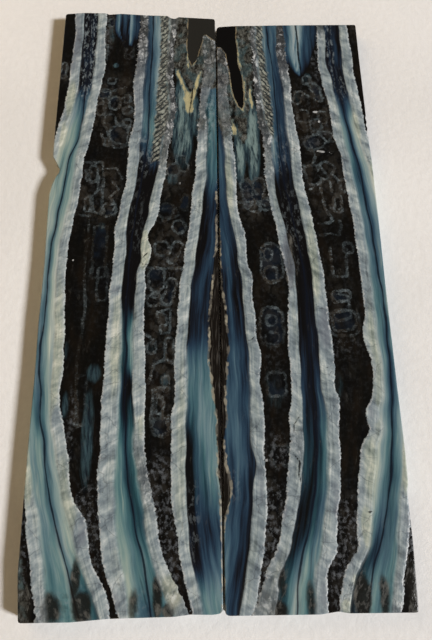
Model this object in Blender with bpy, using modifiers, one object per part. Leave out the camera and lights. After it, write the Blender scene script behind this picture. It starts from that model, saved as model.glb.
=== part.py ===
"""A book-matched pair of polished slabs sawn from one stabilised fossil mammoth molar.

The tooth was filled with dyed resin and opened along its length like a book. The two
slabs lie on their backs, cut face up, edge to edge along the line where it was opened.
Each slab is one solid plate: the enamel, dentine and cement in it grew together, and
the resin is cast into them, so they are colour in the plate and not pieces of it.

Frame: metres, +Z up out of the polished faces, +Y along the slabs, the origin under
the middle of the pair on the surface that it lies on.
"""

import math

import bpy

MM = 0.001

# Driving dimensions of the pair
PAIR_LENGTH = 127.0 * MM
PAIR_WIDTH = 68.2 * MM
THICKNESS = 3.2 * MM
SEAM_GAP = 0.3 * MM
SEAM_TOP_X = 1.25 * MM
SEAM_BOTTOM_X = 0.9 * MM

# How the saw and the grinder left the edges
FACE_EASE = 0.22 * MM
EASE_SEGMENTS = 2
EASE_ANGLE = math.radians(50.0)
OUTER_CORNER = 0.5 * MM
SEAM_CORNER = 0.9 * MM
CORNER_STEPS = 4
WELD_DISTANCE = 0.00001

# Places that the outlines are drawn from
TOP_Y = PAIR_LENGTH / 2
BOTTOM_Y = -PAIR_LENGTH / 2
LEFT_X = -PAIR_WIDTH / 2
RIGHT_X = PAIR_WIDTH / 2

# Each end is an uneven saw cut: places across the pair, with how far the cut falls
# short of the pair's own end there.
LEFT_TOP_CUT = (
    (-7.3 * MM, 1.55 * MM),
    (-8.1 * MM, 2.05 * MM),
    (-9.0 * MM, 1.85 * MM),
    (-9.9 * MM, 1.15 * MM),
    (-15.0 * MM, 0.90 * MM),
    (-20.5 * MM, 0.40 * MM),
    (-23.4 * MM, 0.60 * MM),
    (-24.0 * MM, 0.20 * MM),
    (-29.0 * MM, 0.00 * MM),
)
LEFT_BOTTOM_CUT = (
    (-24.8 * MM, 0.00 * MM),
    (-18.5 * MM, 0.45 * MM),
    (-7.3 * MM, 0.60 * MM),
    (-4.8 * MM, 0.90 * MM),
    (-1.0 * MM, 0.80 * MM),
)
RIGHT_TOP_CUT = ((26.0 * MM, 4.30 * MM), (16.0 * MM, 4.25 * MM), (5.5 * MM, 4.30 * MM))
RIGHT_BOTTOM_CUT = (
    (17.0 * MM, 0.60 * MM),
    (20.0 * MM, 1.00 * MM),
    (22.0 * MM, 0.70 * MM),
)

# The corners where an end cut meets a side, as their own shortfalls
LEFT_TOP_OUTER_SHORT = 0.3 * MM
LEFT_TOP_SEAM_SHORT = 2.25 * MM
LEFT_BOTTOM_SEAM_SHORT = 1.0 * MM
RIGHT_TOP_OUTER_SHORT = 4.35 * MM
RIGHT_TOP_SEAM_SHORT = 4.55 * MM
RIGHT_BOTTOM_OUTER_SHORT = 0.65 * MM
RIGHT_BOTTOM_SEAM_SHORT = 0.6 * MM

# The outer sides were ground by hand: heights along the pair, from the top down, with
# how far the side stands in from the pair's own side there.
LEFT_SIDE_UPPER = ((45.0 * MM, 0.50 * MM), (35.0 * MM, 0.35 * MM), (27.0 * MM, 0.30 * MM))
LEFT_SIDE_LOWER = (
    (9.0 * MM, 0.20 * MM),
    (1.0 * MM, 0.32 * MM),
    (-12.0 * MM, 0.12 * MM),
    (-22.0 * MM, 0.18 * MM),
    (-36.0 * MM, 0.00 * MM),
    (-56.0 * MM, 0.02 * MM),
)
RIGHT_SIDE_UPPER = ((50.0 * MM, 0.70 * MM), (40.0 * MM, 0.60 * MM))
RIGHT_SIDE_LOWER = (
    (28.5 * MM, 0.50 * MM),
    (25.0 * MM, 0.35 * MM),
    (10.0 * MM, 0.25 * MM),
    (-5.0 * MM, 0.30 * MM),
    (-25.0 * MM, 0.18 * MM),
    (-37.0 * MM, 0.00 * MM),
    (-42.4 * MM, 0.12 * MM),
    (-43.4 * MM, 0.45 * MM),
    (-52.0 * MM, 0.38 * MM),
)
CORNER_INSET = 0.7 * MM

# A chip broken out of the left slab's outer side, and the small nibbles opposite it
LEFT_CHIP = (
    (25.2 * MM, 0.40 * MM),
    (24.3 * MM, 0.95 * MM),
    (23.3 * MM, 1.45 * MM),
    (22.3 * MM, 1.95 * MM),
    (21.4 * MM, 1.85 * MM),
    (20.4 * MM, 1.20 * MM),
    (18.6 * MM, 0.60 * MM),
    (16.4 * MM, 0.15 * MM),
)
RIGHT_NIBBLES = (
    (34.6 * MM, 0.55 * MM),
    (34.0 * MM, 0.75 * MM),
    (32.9 * MM, 0.50 * MM),
    (32.2 * MM, 0.78 * MM),
    (31.5 * MM, 0.50 * MM),
    (30.0 * MM, 0.75 * MM),
    (29.2 * MM, 0.52 * MM),
)

# Finishes: colour, roughness
SLAB_FINISHES = {
    "left_slab": ((0.10, 0.13, 0.15, 1.0), 0.30),
    "right_slab": ((0.09, 0.12, 0.15, 1.0), 0.30),
}


def clear_scene():
    """Removes whatever the scene holds, so that the script can be run again."""
    for thing in list(bpy.data.objects):
        bpy.data.objects.remove(thing, do_unlink=True)


def seam_x(y):
    """Place of the seam across the pair: it runs slightly askew from top to bottom."""
    share = (y - BOTTOM_Y) / PAIR_LENGTH
    return SEAM_BOTTOM_X + (SEAM_TOP_X - SEAM_BOTTOM_X) * share


def sharp(points):
    """Marks the points of an outline as plain points, with no rounding."""
    return [(x, y, 0.0) for x, y in points]


def left_outline():
    """Outline of the left slab, clockwise from its top outer corner."""
    half_gap = SEAM_GAP / 2
    top_end = TOP_Y - LEFT_TOP_SEAM_SHORT
    bottom_end = BOTTOM_Y + LEFT_BOTTOM_SEAM_SHORT
    side = LEFT_SIDE_UPPER + LEFT_CHIP + LEFT_SIDE_LOWER
    outline = [(LEFT_X + CORNER_INSET, TOP_Y - LEFT_TOP_OUTER_SHORT, OUTER_CORNER)]
    outline += sharp((x, TOP_Y - short) for x, short in reversed(LEFT_TOP_CUT))
    outline.append((seam_x(top_end) - half_gap, top_end, OUTER_CORNER))
    outline.append((seam_x(bottom_end) - half_gap, bottom_end, SEAM_CORNER))
    outline += sharp((x, BOTTOM_Y + short) for x, short in reversed(LEFT_BOTTOM_CUT))
    outline.append((LEFT_X + CORNER_INSET, BOTTOM_Y, OUTER_CORNER))
    outline += sharp((LEFT_X + inset, y) for y, inset in reversed(side))
    return outline


def right_outline():
    """Outline of the right slab, clockwise from its top corner on the seam."""
    half_gap = SEAM_GAP / 2
    top_end = TOP_Y - RIGHT_TOP_SEAM_SHORT
    bottom_end = BOTTOM_Y + RIGHT_BOTTOM_SEAM_SHORT
    side = RIGHT_SIDE_UPPER + RIGHT_NIBBLES + RIGHT_SIDE_LOWER
    outline = [(seam_x(top_end) + half_gap, top_end, SEAM_CORNER)]
    outline += sharp((x, TOP_Y - short) for x, short in reversed(RIGHT_TOP_CUT))
    outline.append((RIGHT_X - CORNER_INSET, TOP_Y - RIGHT_TOP_OUTER_SHORT, OUTER_CORNER))
    outline += sharp((RIGHT_X - inset, y) for y, inset in side)
    outline.append((RIGHT_X - CORNER_INSET, BOTTOM_Y + RIGHT_BOTTOM_OUTER_SHORT, OUTER_CORNER))
    outline += sharp((x, BOTTOM_Y + short) for x, short in reversed(RIGHT_BOTTOM_CUT))
    outline.append((seam_x(bottom_end) + half_gap, bottom_end, SEAM_CORNER))
    return outline


def round_corners(outline):
    """Replaces each point that has a rounding by a curve that touches both its sides."""
    rounded = []
    count = len(outline)
    for index, (x, y, rounding) in enumerate(outline):
        if rounding == 0.0:
            rounded.append((x, y))
            continue
        before = outline[index - 1]
        after = outline[(index + 1) % count]
        start = towards((x, y), before, rounding)
        end = towards((x, y), after, rounding)
        for step in range(CORNER_STEPS + 1):
            share = step / CORNER_STEPS
            rounded.append(quadratic(start, (x, y), end, share))
    return rounded


def towards(corner, neighbour, distance):
    """The point at a distance from a corner, along the side that runs to its neighbour."""
    dx = neighbour[0] - corner[0]
    dy = neighbour[1] - corner[1]
    share = distance / math.hypot(dx, dy)
    return corner[0] + dx * share, corner[1] + dy * share


def quadratic(start, middle, end, share):
    """A point on the quadratic curve from start to end that leans on the middle point."""
    first = (1 - share) ** 2
    second = 2 * share * (1 - share)
    third = share**2
    return (
        first * start[0] + second * middle[0] + third * end[0],
        first * start[1] + second * middle[1] + third * end[1],
    )


def slab_material(name):
    """The polished face's finish: dark dyed resin and tooth under a satin polish."""
    colour, roughness = SLAB_FINISHES[name]
    material = bpy.data.materials.new(name)
    material.use_nodes = True
    shader = material.node_tree.nodes["Principled BSDF"]
    shader.inputs["Base Color"].default_value = colour
    shader.inputs["Roughness"].default_value = roughness
    shader.inputs["Metallic"].default_value = 0.0
    return material


def make_slab(name, outline, collection):
    """A plate of the pair's thickness with a given outline, its face edges eased."""
    curve = bpy.data.curves.new(name, "CURVE")
    curve.dimensions = "2D"
    curve.fill_mode = "BOTH"
    curve.extrude = THICKNESS / 2
    points = round_corners(outline)
    spline = curve.splines.new("POLY")
    spline.points.add(len(points) - 1)
    for point, (x, y) in zip(spline.points, points):
        point.co = (x, y, 0.0, 1.0)
    spline.use_cyclic_u = True
    curve.materials.append(slab_material(name))

    slab = bpy.data.objects.new(name, curve)
    slab.location.z = THICKNESS / 2
    collection.objects.link(slab)

    weld = slab.modifiers.new("join the faces to the sides", "WELD")
    weld.merge_threshold = WELD_DISTANCE
    ease = slab.modifiers.new("eased edges", "BEVEL")
    ease.width = FACE_EASE
    ease.segments = EASE_SEGMENTS
    ease.limit_method = "ANGLE"
    ease.angle_limit = EASE_ANGLE
    return slab


def main():
    """Builds the pair in a collection of its own."""
    clear_scene()
    collection = bpy.data.collections.new("fossil_mammoth_tooth")
    bpy.context.scene.collection.children.link(collection)
    make_slab("left_slab", left_outline(), collection)
    make_slab("right_slab", right_outline(), collection)


main()
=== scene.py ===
"""Dresses a book-matched pair of polished mammoth molar slabs, seen from above on pale paper.

The cut meets the molar's enamel plates edge on, so each slab shows long pale enamel
bands. By turns, the spaces between them hold dentine, stained by blue resin that ran
in along the grain, and near-black cement full of cell outlines. Every pattern is a
solid one: it is worked out from the height along the slab, the place across it and the
depth in it, so it runs on down the sawn sides and over the ground back.

Lengths in the tables are millimetres in the slabs' own frame. Meshes are in metres.
"""

import logging
import math
from collections.abc import Callable
from dataclasses import dataclass
from enum import Enum

import bpy
import numpy as np
from mathutils import Matrix, Vector


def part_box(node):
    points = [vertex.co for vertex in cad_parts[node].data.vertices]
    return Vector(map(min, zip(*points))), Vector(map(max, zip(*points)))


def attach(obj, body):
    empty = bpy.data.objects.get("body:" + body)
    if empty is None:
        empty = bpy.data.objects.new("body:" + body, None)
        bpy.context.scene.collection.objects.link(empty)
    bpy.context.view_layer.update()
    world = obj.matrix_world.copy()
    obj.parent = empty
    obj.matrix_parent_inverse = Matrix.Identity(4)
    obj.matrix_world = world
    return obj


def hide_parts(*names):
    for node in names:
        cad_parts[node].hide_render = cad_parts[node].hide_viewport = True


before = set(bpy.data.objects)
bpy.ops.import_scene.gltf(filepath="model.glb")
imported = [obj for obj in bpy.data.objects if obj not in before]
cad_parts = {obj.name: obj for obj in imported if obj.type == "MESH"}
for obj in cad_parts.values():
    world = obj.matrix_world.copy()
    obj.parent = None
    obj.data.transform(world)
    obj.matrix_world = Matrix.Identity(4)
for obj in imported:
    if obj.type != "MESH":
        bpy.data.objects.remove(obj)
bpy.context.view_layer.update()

LOG = logging.getLogger("tooth")
MM = 0.001

# How far the plates dip, across the slab and along it for each millimetre of depth. The
# dip across changes by DIP_SWAY either way, as the sine of the height over DIP_WAVE.
DIP = 0.16
DIP_SWAY = 0.05
DIP_WAVE = 6.0
DIP_ALONG = 0.06

# How far the pattern sways across the slab, in millimetres, and the radians of that
# wave for each millimetre across and along.
SWAY = 0.06
SWAY_ACROSS = 0.3
SWAY_ALONG = 0.9

# A depth that is as good as outside, in millimetres.
FAR_OUTSIDE = -50.0

# The guides are the bands' edges, averaged over these steps along the slab.
GUIDE_SHIFTS = (-6, -3, 0, 3, 6)

# The bands' mean places are taken at this many even heights, as far up and down as this.
MEAN_POINTS = 85
MEAN_REACH = 63.0

# The least width that a share of the way across is taken over, in millimetres.
LEAST_WIDTH = 0.05

# How far dentine and its stain run in under the enamel, and past the seam's edge.
UNDER_ENAMEL = 0.7
PAST_SEAM = 9.0

# The plate's tip: its stain is full at its sides and falls by this much a millimetre,
# and it deepens towards the lower end by TIP_END, which fades over TIP_FADE millimetres.
TIP_FALL = 0.7
TIP_END = 0.4
TIP_FADE = 3.0
TIP_GREEN = 0.1

# The beads turn in this far below the top of their line, and the seam's filling thins
# out by this share of the way to its ends.
BEAD_TURN = 2.0
FILL_TAPER = 0.25

Array = np.ndarray
Colour = tuple[float, float, float, float]
Point = tuple[float, float]
Stations = tuple[tuple[float, ...], ...]
Socket = bpy.types.NodeSocket


class Side(Enum):
    """Which side of an enamel band the cement lies on."""

    LEFT = "left"
    RIGHT = "right"


class Layer(Enum):
    """The values that each vertex carries for the finish to read."""

    FLOW = "flow"
    ENAMEL = "enamel"
    CEMENT_SIDE = "cement_side"
    CRUMBLE = "crumble"
    DENTINE = "dentine"
    DYE = "dye"
    GREEN = "green"
    FISSURE = "fissure"
    CREAM = "cream"
    STAIN = "stain"
    CELLS = "cells"
    GRIT = "grit"
    FLECKS = "flecks"
    LOOPS_A = "loops_a"
    LOOPS_B = "loops_b"
    RIBS = "ribs"
    GRAVEL = "gravel"
    YELLOW = "yellow"
    VOID = "void"
    SEAM_FILL = "seam_fill"
    BEADS = "beads"
    CRACKS = "cracks"
    SPECKS = "specks"
    SMUDGE = "smudge"


def srgb(red: float, green: float, blue: float) -> Colour:
    """Turns a display colour into the linear one that a shader takes.

    Args:
        red: Red from 0 to 255.
        green: Green from 0 to 255.
        blue: Blue from 0 to 255.

    Returns:
        The linear colour with full alpha: below 0.04045 the share over 12.92, and
        above it the share plus 0.055, over 1.055, to the power 2.4.
    """
    shares = [value / 255.0 for value in (red, green, blue)]
    linear = [s / 12.92 if s <= 0.04045 else ((s + 0.055) / 1.055) ** 2.4 for s in shares]
    return linear[0], linear[1], linear[2], 1.0


def smooth_line(heights: Array, stations: Stations, column: int) -> Array:
    """Reads a smooth curve through stations that are listed from the top down.

    Args:
        heights: Heights to read the curve at, in millimetres.
        stations: Rows that start with a height.
        column: Which value of each row the curve goes through.

    Returns:
        The cubic Hermite curve: its slope at a station is the slope between the
        stations on either side of it, and beyond the ends it holds still.
    """
    table = np.array(stations, dtype=float)[::-1]
    knots = table[:, 0]
    values = table[:, column]
    slopes = np.gradient(values, knots)
    at = np.clip(heights, knots[0], knots[-1])
    low = np.clip(np.searchsorted(knots, at, side="right") - 1, 0, len(knots) - 2)
    gap = knots[low + 1] - knots[low]
    share = (at - knots[low]) / gap
    square = share * share
    cube = square * share
    return (
        (2 * cube - 3 * square + 1) * values[low]
        + (cube - 2 * square + share) * gap * slopes[low]
        + (3 * square - 2 * cube) * values[low + 1]
        + (cube - square) * gap * slopes[low + 1]
    )


def side_distance(x: Array, y: Array, start: Point, end: Point) -> tuple[Array, Array]:
    """Finds the place on a straight side that is nearest to each point.

    Args:
        x: Places across, in millimetres.
        y: Heights, in millimetres.
        start: Where the side starts.
        end: Where it ends.

    Returns:
        The share of the way along the side, which is the point's offset from the start
        times the side, over the side's square; and the distance to that place.
    """
    side_x = end[0] - start[0]
    side_y = end[1] - start[1]
    along = ((x - start[0]) * side_x + (y - start[1]) * side_y) / (side_x**2 + side_y**2)
    along = np.clip(along, 0.0, 1.0)
    return along, np.hypot(x - start[0] - along * side_x, y - start[1] - along * side_y)


def polygon_depth(x: Array, y: Array, corners: tuple[Point, ...]) -> Array:
    """How deep points lie inside a polygon.

    Args:
        x: Places across, in millimetres.
        y: Heights, in millimetres.
        corners: The polygon's corners in order.

    Returns:
        The distance to the nearest side: plus inside, minus outside. A point is
        inside if a level ray from it crosses an odd number of sides.
    """
    nearest = np.full(x.shape, np.inf)
    inside = np.zeros(x.shape, dtype=bool)
    for (ax, ay), (bx, by) in zip(corners, corners[1:] + corners[:1]):
        nearest = np.minimum(nearest, side_distance(x, y, (ax, ay), (bx, by))[1])
        crosses = (ay > y) != (by > y)
        meets = ax + (y - ay) * (bx - ax) / (by - ay if by != ay else 1.0)
        inside ^= crosses & (x < meets)
    return np.where(inside, nearest, -nearest)


def stroke_depth(x: Array, y: Array, points: Stations) -> Array:
    """How deep points lie inside a brush stroke.

    Args:
        x: Places across, in millimetres.
        y: Heights, in millimetres.
        points: The stroke's points: across, height and half width.

    Returns:
        Half the stroke's width at the nearest place on its line, less the distance
        to that place.
    """
    depth = np.full(x.shape, -np.inf)
    for (ax, ay, wide_a), (bx, by, wide_b) in zip(points, points[1:]):
        along, away = side_distance(x, y, (ax, ay), (bx, by))
        depth = np.maximum(depth, wide_a + (wide_b - wide_a) * along - away)
    return depth


@dataclass(frozen=True)
class EnamelBand:
    """One enamel plate, met edge on by the cut.

    stations lists its height, left edge and right edge from the top down, and
    crumble lists height and how far it has gone to rubble there.
    """

    stations: Stations
    cement: Side
    crumble: Stations

    def edges(self, heights: Array) -> tuple[Array, Array]:
        """The band's left and right edges at some heights."""
        return smooth_line(heights, self.stations, 1), smooth_line(heights, self.stations, 2)


@dataclass(frozen=True)
class DentineField:
    """The dentine between two enamel bands, with the fine fissure down its middle.

    fissure lists height and place across, or is SEAM_LINE where the seam takes its
    place. dye lists height, then how deep the stain is at the left edge, at the
    fissure and at the right edge, and how green it is.
    """

    fissure: Stations
    dye: Stations


@dataclass(frozen=True)
class DentineTip:
    """The tip of a plate that the cut only just reaches, at the slab's top end.

    edges lists height, left edge and right edge. stops lists the share of the way
    across and the stain's depth there.
    """

    edges: Stations
    stops: Stations


@dataclass(frozen=True)
class CellLoop:
    """The outline of one cement cell: a round-cornered box, turned by tilt degrees."""

    x: float
    y: float
    half_width: float
    half_height: float
    corner: float = 0.9
    tilt: float = 0.0

    def depth(self, x: Array, y: Array) -> Array:
        """How far outside the outline points lie, minus within it: the round-box distance."""
        turn = math.radians(self.tilt)
        across = (x - self.x) * math.cos(turn) + (y - self.y) * math.sin(turn)
        along = (y - self.y) * math.cos(turn) - (x - self.x) * math.sin(turn)
        corner = min(self.corner, self.half_width, self.half_height)
        out_x = np.abs(across) - (self.half_width - corner)
        out_y = np.abs(along) - (self.half_height - corner)
        outside = np.hypot(np.maximum(out_x, 0.0), np.maximum(out_y, 0.0))
        return outside + np.minimum(np.maximum(out_x, out_y), 0.0) - corner


@dataclass(frozen=True)
class SoftSpot:
    """A stain with soft edges: its middle, its half sizes and its strength."""

    x: float
    y: float
    half_width: float
    half_height: float
    strength: float = 1.0

    def amount(self, x: Array, y: Array) -> Array:
        """The stain's strength: a bell curve of the distance in half sizes."""
        far = ((x - self.x) / self.half_width) ** 2 + ((y - self.y) / self.half_height) ** 2
        return self.strength * np.exp(-0.7 * far**2)


def cell_loops(*rows: tuple[float, ...]) -> tuple[CellLoop, ...]:
    """Makes a cell outline of each row of its values."""
    return tuple(CellLoop(*row) for row in rows)


def soft_spots(*rows: tuple[float, ...]) -> tuple[SoftSpot, ...]:
    """Makes a soft spot of each row of its values."""
    return tuple(SoftSpot(*row) for row in rows)


@dataclass(frozen=True)
class SlabPattern:
    """All that the cut shows on one slab."""

    bands: tuple[EnamelBand, ...]
    fields: tuple[DentineField, ...]
    tip: DentineTip
    seam: Side
    loops_a: tuple[CellLoop, ...]
    loops_b: tuple[CellLoop, ...]
    walls: tuple[tuple[Point, ...], ...]
    cell_spots: tuple[SoftSpot, ...]
    grit: tuple[SoftSpot, ...]
    flecks: tuple[SoftSpot, ...]
    stains: tuple[SoftSpot, ...]
    creams: tuple[SoftSpot, ...]
    lilacs: tuple[SoftSpot, ...]
    smudges: tuple[SoftSpot, ...]
    ribs: tuple[tuple[Point, ...], ...]
    gravel: tuple[tuple[Point, ...], ...]
    void: tuple[Point, ...]
    yellow: tuple[Stations, ...]
    cracks: tuple[Stations, ...]
    specks: tuple[CellLoop, ...]
    bead_line: Stations
    fill_ends: Point


SEAM_LINE: Stations = ((63.5, 1.25), (-63.5, 0.9))

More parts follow.
